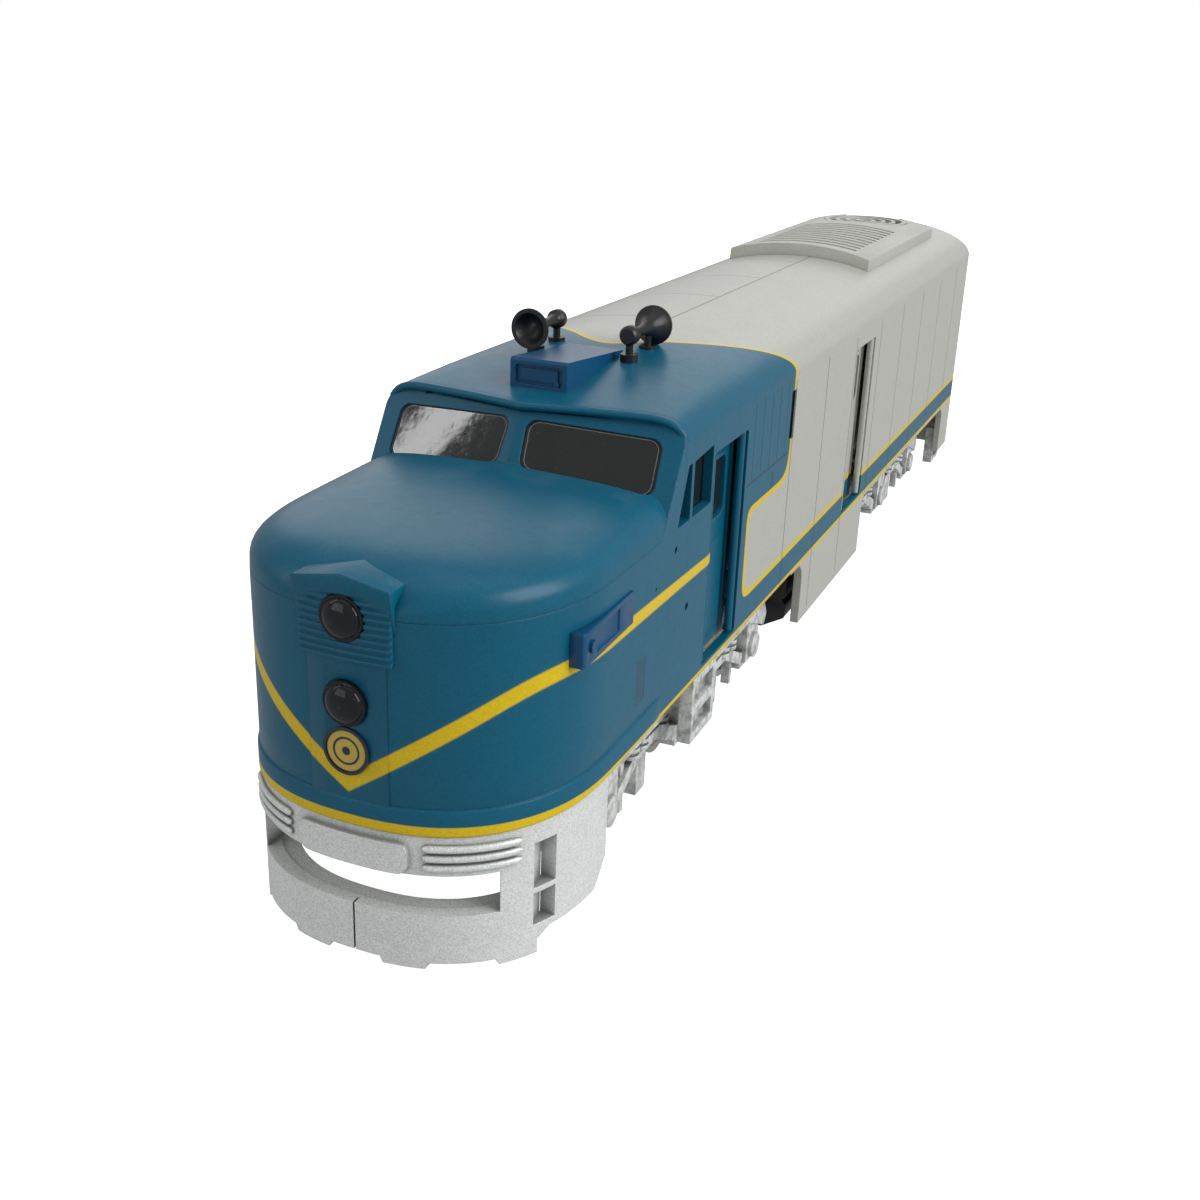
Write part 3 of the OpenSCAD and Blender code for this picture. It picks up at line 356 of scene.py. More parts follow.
def livery():
    """Blue nose and cab, silver body, yellow lines: one paint for the shell and the nose door."""
    f = Finish("livery_paint", BLUE, 0.36, coat=0.12, coat_roughness=0.24)
    f.set("Specular IOR Level", 0.28)
    f.round_edges(0.22)
    across = abs(f.x)
    f.vary(f.noise(9.0, 3), 0.92, 1.08)
    f.mix(f.edge(0.16) * f.noise(0.35, 3).step(0.42, 0.62) * 0.3, (0.06, 0.20, 0.32))
    # silver area: all of the roof and sides behind the sweep, and a tongue forward along the side
    sweep = f.station - ((across / HALF).power(1.6) * SWEEP_BACK + SWEEP_FROM)
    tongue = (f.station - TONGUE_FRONT).low(TONGUE_TOP - f.height, 3.0)
    silver = sweep.high(tongue, 6.0).low(f.height - BELT_TOP, 4.5)
    skirt = -0.05 - f.height
    f.mix(silver.high(skirt).step(-0.1, 0.1), BODY_SILVER)
    # yellow lines: the vee over the nose, the border of the silver area, and the sill
    vee = (across * 0.68 + 4.5).low(TONGUE_TOP - f.station * 0.03, 3.0)
    # distance from the edges of the stripe, which narrows towards the back
    off_vee = abs(f.height - vee) - (0.92 - f.station * 0.006)
    before_door = 1.0 - f.station.step(51.8, 52.4)
    spray = line(off_vee, 0.0, 0.7) * (1.0 - f.station.step(10, 34)) * 0.4
    border = line(abs(silver + 0.1), 0.42, 0.1) * f.height.step(-0.3, -0.1)
    sill_top = 1.15 - f.station.step(4, 32) * 0.6
    sill = (sill_top - f.height).step(-0.09, 0.09) * f.height.step(-0.12, -0.04)
    f.mix(spray * f.noise(0.5, 2).step(0.25, 0.75), (0.12, 0.20, 0.05))
    f.mix((line(off_vee, 0.0, 0.16) * before_door).high(sill).high(border), YELLOW)
    f.vary(f.cells(0.16), 0.92, 1.08)
    f.vary(f.noise(2.4, 4), 0.97, 1.03)
    # painted shade: the inside of the upright slot behind the louvres is painted near-black
    slot = inside(f.station, SLOT[0] - 0.2, SLOT[2] + 0.2) * inside(f.height, SLOT[1] - 0.2, SLOT[3] + 0.2)
    f.mix(slot * (1.0 - across.step(HALF - 0.3, HALF - 0.15)), (0.003, 0.012, 0.030))
    seams = body_seams(f, across)
    f.mix(seams * 0.55, (0.03, 0.035, 0.035))
    dust = f.upward() * f.noise(5, 5).step(0.45, 0.8)
    f.mix(dust * 0.05, (0.50, 0.54, 0.56))
    f.rough(f.noise(1.6, 4) * 0.12 + 0.30 + dust * 0.05)
    f.bump(seams, -0.12)
    f.bump(f.noise(0.9, 2), 0.012)
    f.bump(f.noise(0.22, 2), 0.004)
    return f.done()


def painted(name, color, roughness, flake=0.0):
    """Satin paint, a little lighter on worn edges, with metal flake if asked."""
    f = Finish(name, color, roughness, coat=0.15, coat_roughness=0.25)
    f.set("Specular IOR Level", 0.3)
    f.round_edges(0.1)
    f.vary(f.noise(4.0, 3), 0.93, 1.07)
    if flake:
        f.vary(f.cells(0.12), 1 - flake, 1 + flake)
    light = tuple(min(1, c * 1.8 + 0.05) for c in color)
    f.mix(f.edge(0.12) * f.noise(0.3, 3).step(0.4, 0.6) * 0.3, light)
    f.rough(f.noise(1.2, 4) * 0.14 + roughness - 0.06)
    f.bump(f.noise(0.3, 3), 0.006)
    return f.done()


def silver_flake(name):
    """Silver paint whose flakes catch the light; behind the pilot it is darker and mottled, and its corners
    carry painted shade.
    """
    f = Finish(name, SILVER, 0.42, metallic=0.25)
    f.round_edges(0.14)
    f.vary(f.cells(0.11), 0.78, 1.12)
    f.vary(f.noise(3.0, 3), 0.95, 1.05)
    f.mix(f.edge(0.1) * 0.35, (0.85, 0.87, 0.87))
    f.mix(f.noise(1.5, 5).step(0.55, 0.85) * 0.15, (0.30, 0.31, 0.30))
    behind_pilot = f.station.step(22.6, 26.0)
    f.mix(f.noise(1.3, 4).step(0.38, 0.68) * behind_pilot * 0.6, (0.22, 0.23, 0.22))
    # painted shade: an ambient-occlusion mask darkens corners and crevices
    f.mix(f.cavity(2.5) * 0.8, (0.12, 0.125, 0.12))
    f.rough(f.cells(0.17) * 0.18 + 0.30)
    f.bump(f.noise(0.16, 2), 0.010)
    return f.done()


def plastic(name, color, roughness, tone=0.10):
    """Moulded plastic with a fine grain and lighter edges."""
    f = Finish(name, color, roughness)
    f.round_edges(0.08)
    f.vary(f.noise(2.5, 3), 1 - tone, 1 + tone)
    f.mix(f.edge(0.1) * f.noise(0.4, 3).step(0.4, 0.7) * 0.25, tuple(min(1, c * 2 + 0.06) for c in color))
    f.rough(f.noise(0.8, 4) * 0.16 + roughness - 0.08)
    f.bump(f.noise(0.15, 3), 0.005)
    return f.done()


def metal(name, color, roughness, stain=0.2):
    """Bare metal with darker stains."""
    f = Finish(name, color, roughness, metallic=1.0)
    f.round_edges(0.08)
    f.vary(f.noise(0.5, 3), 0.85, 1.1)
    f.mix(f.noise(2.2, 5).step(0.5, 0.9) * stain, tuple(c * 0.3 for c in color))
    f.rough(f.noise(0.3, 4) * 0.2 + roughness - 0.08)
    f.bump(f.noise(0.12, 2), 0.004)
    return f.done()


def dark_gloss(name, color, roughness):
    """Polished dark plastic of lenses, with a little dust."""
    f = Finish(name, color, roughness, coat=0.2, coat_roughness=0.03)
    f.set("Specular IOR Level", 0.3)
    dust = f.cells(0.14).step(0.985, 1.0)
    f.vary(f.noise(2.0, 2), 0.8, 1.25)
    f.mix(dust * 0.15, (0.35, 0.36, 0.36))
    f.rough(dust * 0.3 + f.noise(1.0, 4) * 0.05 + roughness)
    f.bump(f.noise(1.5, 2), 0.006)
    return f.done()


def glazing():
    """Smoky clear plastic, lightly scratched, drawn opaque: its near-black colour is painted shade of the
    dark cab behind it, and a painted highlight runs along its edges.
    """
    # painted shade: the opaque panes are near-black for the unlit cab seen behind them
    f = Finish("glazing", (0.012, 0.014, 0.014), 0.05, coat=0.3, coat_roughness=0.02)
    scratch = f.noise(0.35, 4, (6, 1, 0.35), 0.7).step(0.66, 0.70)
    f.vary(f.noise(3.0, 3), 0.7, 1.5)
    f.mix(scratch * 0.25, (0.16, 0.17, 0.17))
    # painted highlight: a light rim laid along the panes' edges
    f.mix(f.edge(0.3) * 0.7, (0.45, 0.50, 0.50))
    f.rough(scratch * 0.25 + f.noise(2.0, 3) * 0.05 + 0.03)
    f.bump(f.noise(2.0, 2), 0.01)
    return f.done()


def clear_plastic():
    """Milky clear plastic of the light pipe."""
    f = Finish("clear_plastic", (0.72, 0.75, 0.75), 0.15, coat=0.4)
    f.vary(f.noise(0.8, 3), 0.85, 1.1)
    f.rough(f.noise(0.6, 3) * 0.1 + 0.1)
    f.bump(f.noise(0.5, 2), 0.006)
    return f.done()


def badge_print():
    """Plain printed roundel: dark rim, yellow field, dark ring and dot."""
    f = Finish("badge_print", (0.58, 0.43, 0.06), 0.3, coat=0.4)
    f.vary(f.noise(0.6, 3), 0.88, 1.1)
    radius = (f.x * f.x + (f.height - BADGE) * (f.height - BADGE)).power(0.5)
    rim = line(abs(radius - 2.35), 0.28, 0.05)
    ring = line(abs(radius - 1.35), 0.12, 0.04)
    dot = line(radius, 0.45, 0.05)
    f.mix(rim.high(ring).high(dot), (0.010, 0.018, 0.035))
    f.rough(f.noise(0.5, 3) * 0.1 + 0.22)
    f.bump(f.noise(0.2, 2), 0.003)
    return f.done()


def floor_finish():
    """Pale floor that glows as bright as the surroundings."""
    f = Finish("pale_floor", (0.80, 0.80, 0.80), 0.75)
    f.set("Emission Color", (1, 1, 1, 1))
    f.set("Emission Strength", FLOOR_GLOW)
    f.vary(f.noise(60, 3), 0.995, 1.0)
    f.rough(f.noise(30, 2) * 0.05 + 0.7)
    return f.done()


MATERIALS = {
    "blue_paint": livery(),
    "dark_blue_paint": painted("dark_blue_paint", DEEP_BLUE, 0.34),
    "silver_paint": silver_flake("silver_paint"),
    "grey_silver_paint": painted("grey_silver_paint", BODY_SILVER, 0.4, 0.1),
    "badge_paint": badge_print(),
    "black_plastic": plastic("black_plastic", (0.012, 0.012, 0.013), 0.36),
    "lens_black": dark_gloss("lens_black", (0.008, 0.009, 0.012), 0.06),
    "glazing": glazing(),
    "clear_plastic": clear_plastic(),
    "die_cast": metal("die_cast", (0.22, 0.22, 0.22), 0.5, stain=0.5),
    "steel": metal("steel", (0.56, 0.55, 0.53), 0.26),
    "brass": metal("brass", (0.66, 0.47, 0.20), 0.25),
    "white_acetal": plastic("white_acetal", (0.72, 0.72, 0.66), 0.4, 0.05),
    "board_green": plastic("board_green", (0.02, 0.12, 0.05), 0.35),
}


# ---------- mesh helpers ----------

def finish_mesh(name, data, body, slot, replaced=(), angle=32.0):
    """Make the object, shade it smooth up to an angle, and let it ride on its body."""
    piece = bpy.data.objects.new(name, data)
    bpy.context.scene.collection.objects.link(piece)
    data.materials.clear()
    data.materials.append(MATERIALS[slot])
    data.shade_smooth()
    data.set_sharp_from_angle(angle=math.radians(angle))
    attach(piece, body)
    if replaced:
        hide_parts(*replaced)
    return piece


def mesh_of(bm, name="piece"):
    """Mesh from a bmesh, which is freed."""
    data = bpy.data.meshes.new(name)
    bm.to_mesh(data)
    bm.free()
    return data


def grid_solid(rows, name="grid"):
    """Closed mesh through rows of points, each row a ring of the same length, capped at both ends."""
    bm = bmesh.new()
    rings = [[bm.verts.new(p) for p in row] for row in rows]
    n = len(rings[0])
    for a, b in zip(rings, rings[1:]):
        for k in range(n):
            quad = (a[k], a[(k + 1) % n], b[(k + 1) % n], b[k])
            bm.faces.new(quad)
    bm.faces.new(list(reversed(rings[0])))
    bm.faces.new(rings[-1])
    bmesh.ops.remove_doubles(bm, verts=bm.verts, dist=1e-7)
    bmesh.ops.dissolve_degenerate(bm, edges=bm.edges, dist=1e-7)
    bmesh.ops.recalc_face_normals(bm, faces=bm.faces)
    return mesh_of(bm, name)


def prism(points, direction):
    """Closed prism: an outline of points swept by a direction vector."""
    bm = bmesh.new()
    low = [bm.verts.new(p) for p in points]
    high = [bm.verts.new(Vector(p) + Vector(direction)) for p in points]
    n = len(low)
    bm.faces.new(low)
    bm.faces.new(list(reversed(high)))
    for k in range(n):
        bm.faces.new((low[k], high[k], high[(k + 1) % n], low[(k + 1) % n]))
    bmesh.ops.recalc_face_normals(bm, faces=bm.faces)
    return mesh_of(bm)


def box_mesh(low, high):
    """Box between two corners given as (x, station, height)."""
    x0, y0, z0 = low
    x1, y1, z1 = high
    return prism([at(x0, y0, z0), at(x1, y0, z0), at(x1, y1, z0), at(x0, y1, z0)], (0, 0, (z1 - z0) * MM))


def rounded(points, radius, steps=5):
    """Outline with its corners turned to arcs."""
    out = []
    n = len(points)
    for i, p in enumerate(points):
        p = Vector(p)
        a = (Vector(points[i - 1]) - p).normalized()
        b = (Vector(points[(i + 1) % n]) - p).normalized()
        half = a.angle(b) / 2
        back = radius / math.tan(half)
        centre = p + (a + b).normalized() * radius / math.sin(half)
        s = p + a * back - centre
        e = p + b * back - centre
        for k in range(steps + 1):
            v = s * (1 - k / steps) + e * (k / steps)
            out.append(centre + v.normalized() * radius)
    return out


def side_outline(points, x0, x1):
    """Prism across the width from an outline of (station, height)."""
    return prism([at(x0, p[0], p[1]) for p in points], ((x1 - x0) * MM, 0, 0))


def cylinder(centre, axis, radius, length, segments=48):
    """Closed cylinder from a centre point (x, station, height) along a unit axis."""
    axis = Vector(axis).normalized()
    turn = axis.to_track_quat("Z", "Y").to_matrix()
    start = at(*centre)
    ring = [start + turn @ Vector((math.cos(a), math.sin(a), 0)) * radius * MM
            for a in np.linspace(0, 2 * math.pi, segments, endpoint=False)]
    return prism(ring, axis * length * MM)


def combine(base, others, kind):
    """Boolean of a mesh with several others; returns a new mesh."""
    host = bpy.data.objects.new("host", base)
    bpy.context.scene.collection.objects.link(host)
    tools = []
    for data in others:
        tool = bpy.data.objects.new("tool", data)
        bpy.context.scene.collection.objects.link(tool)
        tools.append(tool)
        modifier = host.modifiers.new("cut", "BOOLEAN")
        modifier.operation = kind
        modifier.solver = "EXACT"
        modifier.object = tool
    bpy.context.view_layer.update()
    result = bpy.data.meshes.new_from_object(host.evaluated_get(bpy.context.evaluated_depsgraph_get()))
    for o in tools + [host]:
        bpy.data.objects.remove(o)
    return result


def join(meshes):
    """One mesh that holds several."""
    bm = bmesh.new()
    for data in meshes:
        bm.from_mesh(data)
    return mesh_of(bm)


def refined(node, width):
    """The CAD node's own shape with its edges rounded off by width millimetres."""
    bm = bmesh.new()
    bm.from_mesh(NODES[node].data)
    bmesh.ops.remove_doubles(bm, verts=bm.verts, dist=2e-6)
    bmesh.ops.dissolve_limit(bm, angle_limit=math.radians(1.0), verts=bm.verts, edges=bm.edges)
    data = mesh_of(bm, node)
    if width:
        host = bpy.data.objects.new("host", data)
        bpy.context.scene.collection.objects.link(host)
        bevel = host.modifiers.new("round", "BEVEL")
        bevel.width = width * MM
        bevel.segments = 2
        bevel.limit_method = "ANGLE"
        bevel.angle_limit = math.radians(25)
        bevel.use_clamp_overlap = True
        bpy.context.view_layer.update()
        data = bpy.data.meshes.new_from_object(host.evaluated_get(bpy.context.evaluated_depsgraph_get()))
        bpy.data.objects.remove(host)
    return finish_mesh(node + "_piece", data, BODY_OF[node], SLOT_OF[node], (node,))


# ---------- body shell ----------

def spow(value, power):
    """Power that keeps the sign of its base."""
    return math.copysign(abs(value) ** power, value)


def plan_point(angle, t=0.0):
    """Point of the nose's plan outline; 0 is the left side, 90 the tip, 180 the right side."""
    c, s = math.cos(angle), math.sin(angle)
    return (HALF - t) * spow(c, 1 / 1.2), NOSE_FACE + NOSE_ROUND - (NOSE_ROUND - t) * spow(s, 1 / 1.2)


def nose_half_width(station, t=0.0):
    """Half-width of the plan at a station."""
    u = (NOSE_FACE + NOSE_ROUND - station) / (NOSE_ROUND - t)
    if u <= 0:
        return HALF - t
    return (HALF - t) * max(0.0, 1 - min(1.0, u) ** 2.4) ** (1 / 2.4)


def nose_rise(station, t=0.0):
    """Height of the nose's centre line above its sides."""
    u = max(0.0, station - NOSE_FACE - t)
    return 4.35 * (1 - math.exp(-u / 2.0)) + 1.45 * min(1.0, u / 32.0) ** 0.9


def nose_height(x, station, t=0.0):
    """Height of the nose's domed top, t inside its skin."""
    width = max(1e-6, nose_half_width(station, t))
    k = min(1.0, abs(x) / width)
    return NOSE_SIDE - t * 0.6 + (nose_rise(station, t) - t * 0.5) * (1 - k ** 3.2) ** (1 / 3.2)


def nose_mesh(t=0.0, low=0.0):
    """Nose as one closed form: upright side wall, then a domed top in rings that follow the plan."""
    back = 44.0
    outline = [(HALF - t, s) for s in np.linspace(back, 23.0, 22)]
    outline += [plan_point(math.radians(a), t) for a in np.linspace(0, 180, 121)]
    outline += [(-(HALF - t), s) for s in np.linspace(23.0, back, 22)]
    rows = []
    levels = [(z, 0.0) for z in (6.0, 12.0, 18.0, NOSE_SIDE - 0.12)]
    if t == 0:
        # the base band, proud of the nose, with a rounded top edge over a fine crease
        levels = [(0.0, BAND - 0.15), (0.2, BAND), (BAND_TOP - 0.3, BAND), (BAND_TOP - 0.08, BAND * 0.6),
                  (BAND_TOP, -0.07), (BAND_TOP + 0.2, 0.0)] + levels
    else:
        levels = [(low, 0.0)] + levels
    for z, out in levels:
        row = []
        for x, s in outline:
            fade = min(1.0, max(0.0, (BAND_END - s) / 0.6))
            row.append(at(x * (1 + out * fade / HALF), s - out * fade * max(0, 1 - s / 22), z))
        rows.append(row)
    if t == 0:
        # fine parting groove under the domed top
        rows.append([at(x * 0.9955, s + 0.08 * max(0, 1 - s / 22), NOSE_SIDE - 0.06) for x, s in outline])
    fractions = [0, 0.004, 0.012, 0.025, 0.045, 0.07, 0.1, 0.14, 0.19, 0.25,
                 0.32, 0.4, 0.5, 0.62, 0.75, 0.9, 1.0]
    for f in fractions:
        row = []
        for x, s in outline:
            target = max(s, 14.0)
            px, ps = x * (1 - f), s + (target - s) * f
            row.append(at(px, ps, nose_height(px, ps, t)))
        rows.append(row)
    bm = bmesh.new()
    rings = [[bm.verts.new(p) for p in row] for row in rows]
    n = len(outline)
    for a, b in zip(rings, rings[1:]):
        for k in range(n - 1):
            bm.faces.new((a[k], a[k + 1], b[k + 1], b[k]))
    bmesh.ops.remove_doubles(bm, verts=bm.verts, dist=2e-6)
    bmesh.ops.dissolve_degenerate(bm, edges=bm.edges, dist=1e-6)
    bmesh.ops.holes_fill(bm, edges=[e for e in bm.edges if e.is_boundary], sides=0)
    bmesh.ops.recalc_face_normals(bm, faces=bm.faces)
    return mesh_of(bm, "nose")


def brow_station(x):
    """Station of the brow's front edge, swept back from the centre."""
    return BROW_Y + abs(x) * math.tan(SCREEN_SWEEP)


def soft_low(a, b, soft):
    """The smaller number, the crossing rounded over soft."""
    near = max(0.0, soft - abs(a - b)) / soft
    return min(a, b) - near * near * soft / 4


def roof_height(x, station, t=0.0):
    """Height of the roof skin: an elliptical arch under a flatter one that falls towards the brow."""
    arch = EAVE + (RISE - t) * math.sqrt(1 - min(1.0, abs(x) / (HALF - t)) ** 2)
    ahead = max(0.0, FALL_FROM - station)
    if not ahead:
        return arch
    flat = EAVE + RISE - t - ahead * math.tan(ROOF_FALL) - 1.6 * (1 - math.sqrt(1 - (x / 22) ** 2))
    return soft_low(arch, flat, 0.02 + 0.9 * min(1.0, ahead / 8))


def brow_drop(x, station):
    """How far the front lip of the brow is rounded down."""
    lip = min(1.0, max(0.0, station - brow_station(x)))
    return 0.3 * (1 - math.sqrt(1 - (1 - lip) ** 2))


def main_mesh(t=0.0, low=0.0):
    """Cab and engine room: sections that follow the swept brow at the front and are square at the rear."""
    angles = np.linspace(0, math.pi, 73)
    rows = []
    near = [0, 0.04, 0.15, 0.35, 0.6, 0.9, 1.2, 1.6, 2.6, 4, 6, 9, 13, 17, 22]
    far = [64, 72, 84, 100, 120, 140, 160, 180, 200, LENGTH - t]
    stations = [("brow", u) for u in near] + [("flat", s) for s in far]
    for kind, value in stations:
        ring = []
        for a in angles:
            x = (HALF - t) * math.cos(a)
            if kind == "brow":
                fade = value / 22.0
                s = t + (brow_station(x) + value) * (1 - fade) + (BROW_Y + 22.0) * fade
            else:
                s = value
            ring.append((x, s, roof_height(x, s, t) - brow_drop(x, s)))
        first, last = ring[0], ring[-1]
        ring = [(first[0], first[1], low)] + ring + [(last[0], last[1], low)]
        rows.append([at(*p) for p in ring])
    return grid_solid(rows, "main")


def screen_plane(sign, offset=0.0):
    """Origin and axes (across, up, out) of a windshield pane's plane."""
    up = Vector((0, math.sin(SCREEN_RAKE), math.cos(SCREEN_RAKE)))
    across = Vector((1, 0, 0))
    out = Vector((0, -math.cos(SCREEN_RAKE), math.sin(SCREEN_RAKE)))
    turn = Matrix.Rotation(sign * SCREEN_SWEEP, 3, "Z")
    origin = at(0, SCREEN_FOOT + offset, SCREEN_BASE)
    return origin, turn @ across, turn @ up, turn @ out


def cab_front(t=0.0, low=0.0):
    """Cab under the brow: it fills the space between the brow, the nose and the windshield planes."""
    rows = []
    for station in np.linspace(SCREEN_FOOT - 1.0, 47.0, 9):
        ring = []
        for a in np.linspace(0, math.pi, 49):
            x = (HALF - t) * math.cos(a) * 0.9995
            roof = roof_height(x, max(station, brow_station(x) + 1.0), t)
            ring.append((x, station, min(BROW - t, roof - 0.02)))
        ring = [(ring[0][0], station, low)] + ring + [(ring[-1][0], station, low)]
        rows.append([at(*p) for p in ring])
    return grid_solid(rows, "cab_front")


def screen_wedge(sign, t=0.0, above=0.0):
    """Space ahead of one raked windshield plane, up to the brow or some way above it."""
    origin, across, up, out = screen_plane(sign, t)
    high = (BROW - t - SCREEN_BASE) / math.cos(SCREEN_RAKE) * MM + above * MM
    corners = [origin + across * (sign * a * MM) + up * h for a, h in
               ((-30, -0.02), (30, -0.02), (30, high), (-30, high))]
    return prism(corners, out * 0.03)


PANE = [(1.3, -0.4), (16.5, -2.4), (16.9, 4.2), (1.5, 5.3)]


def pane_points(sign, outline, depth):
    """Outline laid on a windshield plane, some depth outside it, and the plane's outward direction."""
    origin, across, up, out = screen_plane(sign)
    points = [origin + across * (sign * p[0] * MM) + up * (p[1] * MM) + out * (depth * MM) for p in outline]
    return points, out


QUARTER_LIGHT = [(39.3, 21.9), (43.1, 21.9), (43.1, 28.4), (42.0, 28.4)]
CAB_WINDOW = [(43.9, 21.9), (50.2, 21.9), (50.2, 28.8), (43.9, 28.4)]


def door_outline(station, width, low, high, radius):
    """Rounded upright rectangle on the side, from its front edge."""
    return rounded([(station, low), (station + width, low), (station + width, high), (station, high)], radius)


def door(sign, station):
    """Door leaf at the back of its recess, with a rimmed window, a raised panel and a handle."""
    def slab(outline, inner, outer):
        x0, x1 = sorted((sign * inner, sign * outer))
        return side_outline(outline, x0, x1)

    face = HALF - DOOR_DEPTH
    middle = station + DOOR_W / 2
    window = door_outline(middle - 3.2, 6.4, 17.7, 25.1, 0.9)
    rim = door_outline(middle - 3.8, 7.6, 17.1, 25.7, 1.3)
    leaf = combine(slab(door_outline(station - 0.8, DOOR_W + 1.6, 0.2, 28.4, 0.3), face - 1.0, face),
                   [slab(rim, face - 0.5, face + 0.2)], "UNION")
    leaf = combine(leaf, [slab(window, face - 2, face + 1)], "DIFFERENCE")
    panel = slab(door_outline(middle - 4.2, 8.4, 2.4, 14.6, 0.5), face - 0.3, face + 0.15)
    handle = cylinder((sign * face, middle - 4.6, 15.6), (sign, 0, 0), 0.35, 0.7, 20)
    glass = slab(door_outline(middle - 3.4, 6.8, 17.5, 25.3, 0.5), face - 0.75, face - 0.35)
    return join([leaf, panel, handle]), glass


def shell_openings():
    """Everything cut out of the walls."""
    cuts = [box_mesh((-HALF + WALL, FRONT_TRUCK, -30), (HALF - WALL, LENGTH - WALL, 2)),
            box_mesh((-6.5, LENGTH - 3, -11), (6.5, LENGTH + 1, -3)),
            cylinder((0, FAN_AT, 20), (0, 0, 1), FAN_RADIUS, 30, 64)]
    cuts += [cylinder((0, -2, z), (0, 1, 0), 1.5, 8) for z in LAMPS]
    for centre in (FRONT_TRUCK, REAR_TRUCK):
        front, rear = centre - WELL_REACH, centre + WELL_REACH
        well = [(front, -20), (front, -0.3), (rear, -0.3), (rear, -20)]
        cuts.append(side_outline(rounded(well, 3.0, 8), -HALF - 1, HALF + 1))
    for sign in (1, -1):
        points, out = pane_points(sign, rounded(PANE, 1.3, 7), 2.0)
        cuts.append(prism(points, out * -0.005))
        x0, x1 = sorted((sign * (HALF - 3), sign * (HALF + 1)))
        cuts += [side_outline(rounded(shape, 0.2), x0, x1) for shape in (QUARTER_LIGHT, CAB_WINDOW)]
        x0, x1 = sorted((sign * (HALF - 2.0), sign * (HALF + 1)))
        cuts += [side_outline(door_outline(station, DOOR_W, 0.9, 27.6, 0.5), x0, x1) for station in DOORS]
        x0, x1 = sorted((sign * (HALF - 0.5), sign * (HALF + 1)))
        cuts.append(box_mesh((x0, SLOT[0], SLOT[1]), (x1, SLOT[2], SLOT[3])))
        for station, height, radius in ((39.2, 19.5, 0.42), (43.9, 11.2, 0.5), (33.6, 16.8, 0.22)):
            cuts.append(cylinder((sign * (HALF - 1.5), station, height), (sign, 0, 0), radius, 3, 20))
    return cuts


def body_shell():
    """Shell moulding: cab, nose and skirt in one, hollowed and cut, with doors, brow lip and rear door."""
    outer = combine(main_mesh(), [screen_wedge(1), screen_wedge(-1)], "DIFFERENCE")
    front = combine(cab_front(), [screen_wedge(1, 0, 4), screen_wedge(-1, 0, 4)], "DIFFERENCE")
    inner = combine(main_mesh(WALL, -1.0), [screen_wedge(1, WALL), screen_wedge(-1, WALL)], "DIFFERENCE")
    hollow = combine(cab_front(WALL, -1.0),
                     [screen_wedge(1, WALL, 4), screen_wedge(-1, WALL, 4)], "DIFFERENCE")
    skirt = box_mesh((-HALF, 90, SKIRT_FOOT), (HALF, LENGTH, 0.0))
    solid = combine(outer, [front, nose_mesh(), skirt], "UNION")
    solid = combine(solid, [inner, hollow, nose_mesh(WALL, -1.0)] + shell_openings(), "DIFFERENCE")
    leaves = [solid]
    for sign in (1, -1):
        for station in DOORS:
            leaf, glass = door(sign, station)
            leaves.append(leaf)
            side = "left" if sign > 0 else "right"
            finish_mesh("door_glass_%s_%d" % (side, DOORS.index(station)), glass, "body", "glazing")
    leaves += [rear_wall_detail(), brow_lip()]
    return finish_mesh("body_shell_piece", join(leaves), "body", "blue_paint", ("body_shell",), 28)


def tube(points, radius, segments=14):
    """Closed tube through points given as (x, station, height)."""
    rows = []
    for k, point in enumerate(points):
        before, after = Vector(points[max(0, k - 1)]), Vector(points[min(len(points) - 1, k + 1)])
        turn = (after - before).normalized().to_track_quat("Z", "Y").to_matrix()
        ring = [Vector(point) + turn @ Vector((math.cos(a), math.sin(a), 0)) * radius
                for a in np.linspace(0, 2 * math.pi, segments, endpoint=False)]
        rows.append([at(*p) for p in ring])
    return grid_solid(rows, "tube")


def brow_lip():
    """Rounded lip along the front edge of the cab roof, ending at the windshield's outer corners."""
    path = []
    for a in np.linspace(math.radians(3), math.radians(177), 61):
        x = (HALF - 0.42) * math.cos(a)
        edge = brow_station(x) + 0.35
        path.append((x, edge, roof_height(x, edge) - 0.42))
    return tube(path, 0.46)


def windshield_panes():
    """Two smoky panes set back in their openings, each framed by a black gasket."""
    low, high = Vector(PANE[0]), Vector(PANE[2])
    middle = (low + high) / 2
    glass = [middle + (Vector(p) - middle) * 0.95 for p in PANE]
    opening = [middle + (Vector(p) - middle) * 0.955 for p in PANE]
    panes, gaskets = [], []
    for sign in (1, -1):
        points, out = pane_points(sign, rounded(glass, 1.2, 7), -0.75)
        panes.append(prism(points, out * 0.52 * MM))
        outline, out = pane_points(sign, rounded(PANE, 1.3, 7), -0.45)
        inner, out = pane_points(sign, rounded(opening, 1.1, 7), -1)
        ring = combine(prism(outline, out * 0.25 * MM), [prism(inner, out * 3 * MM)], "DIFFERENCE")
        gaskets.append(ring)
    finish_mesh("windshield_panes", join(panes), "body", "glazing", ("windshield_glazing",))
    finish_mesh("windshield_gaskets", join(gaskets), "body", "black_plastic")


def side_panes():
    """Dark panes behind the cab's side windows."""
    panes = []
    outline = rounded([(38.9, 21.3), (50.6, 21.3), (50.6, 29.3), (42.4, 29.3)], 0.5)
    for sign in (1, -1):
        x0, x1 = sorted((sign * (HALF - WALL - 0.45), sign * (HALF - WALL - 0.05)))
        panes.append(side_outline(outline, x0, x1))
    finish_mesh("side_panes", join(panes), "body", "glazing", ("side_window_glazing",))


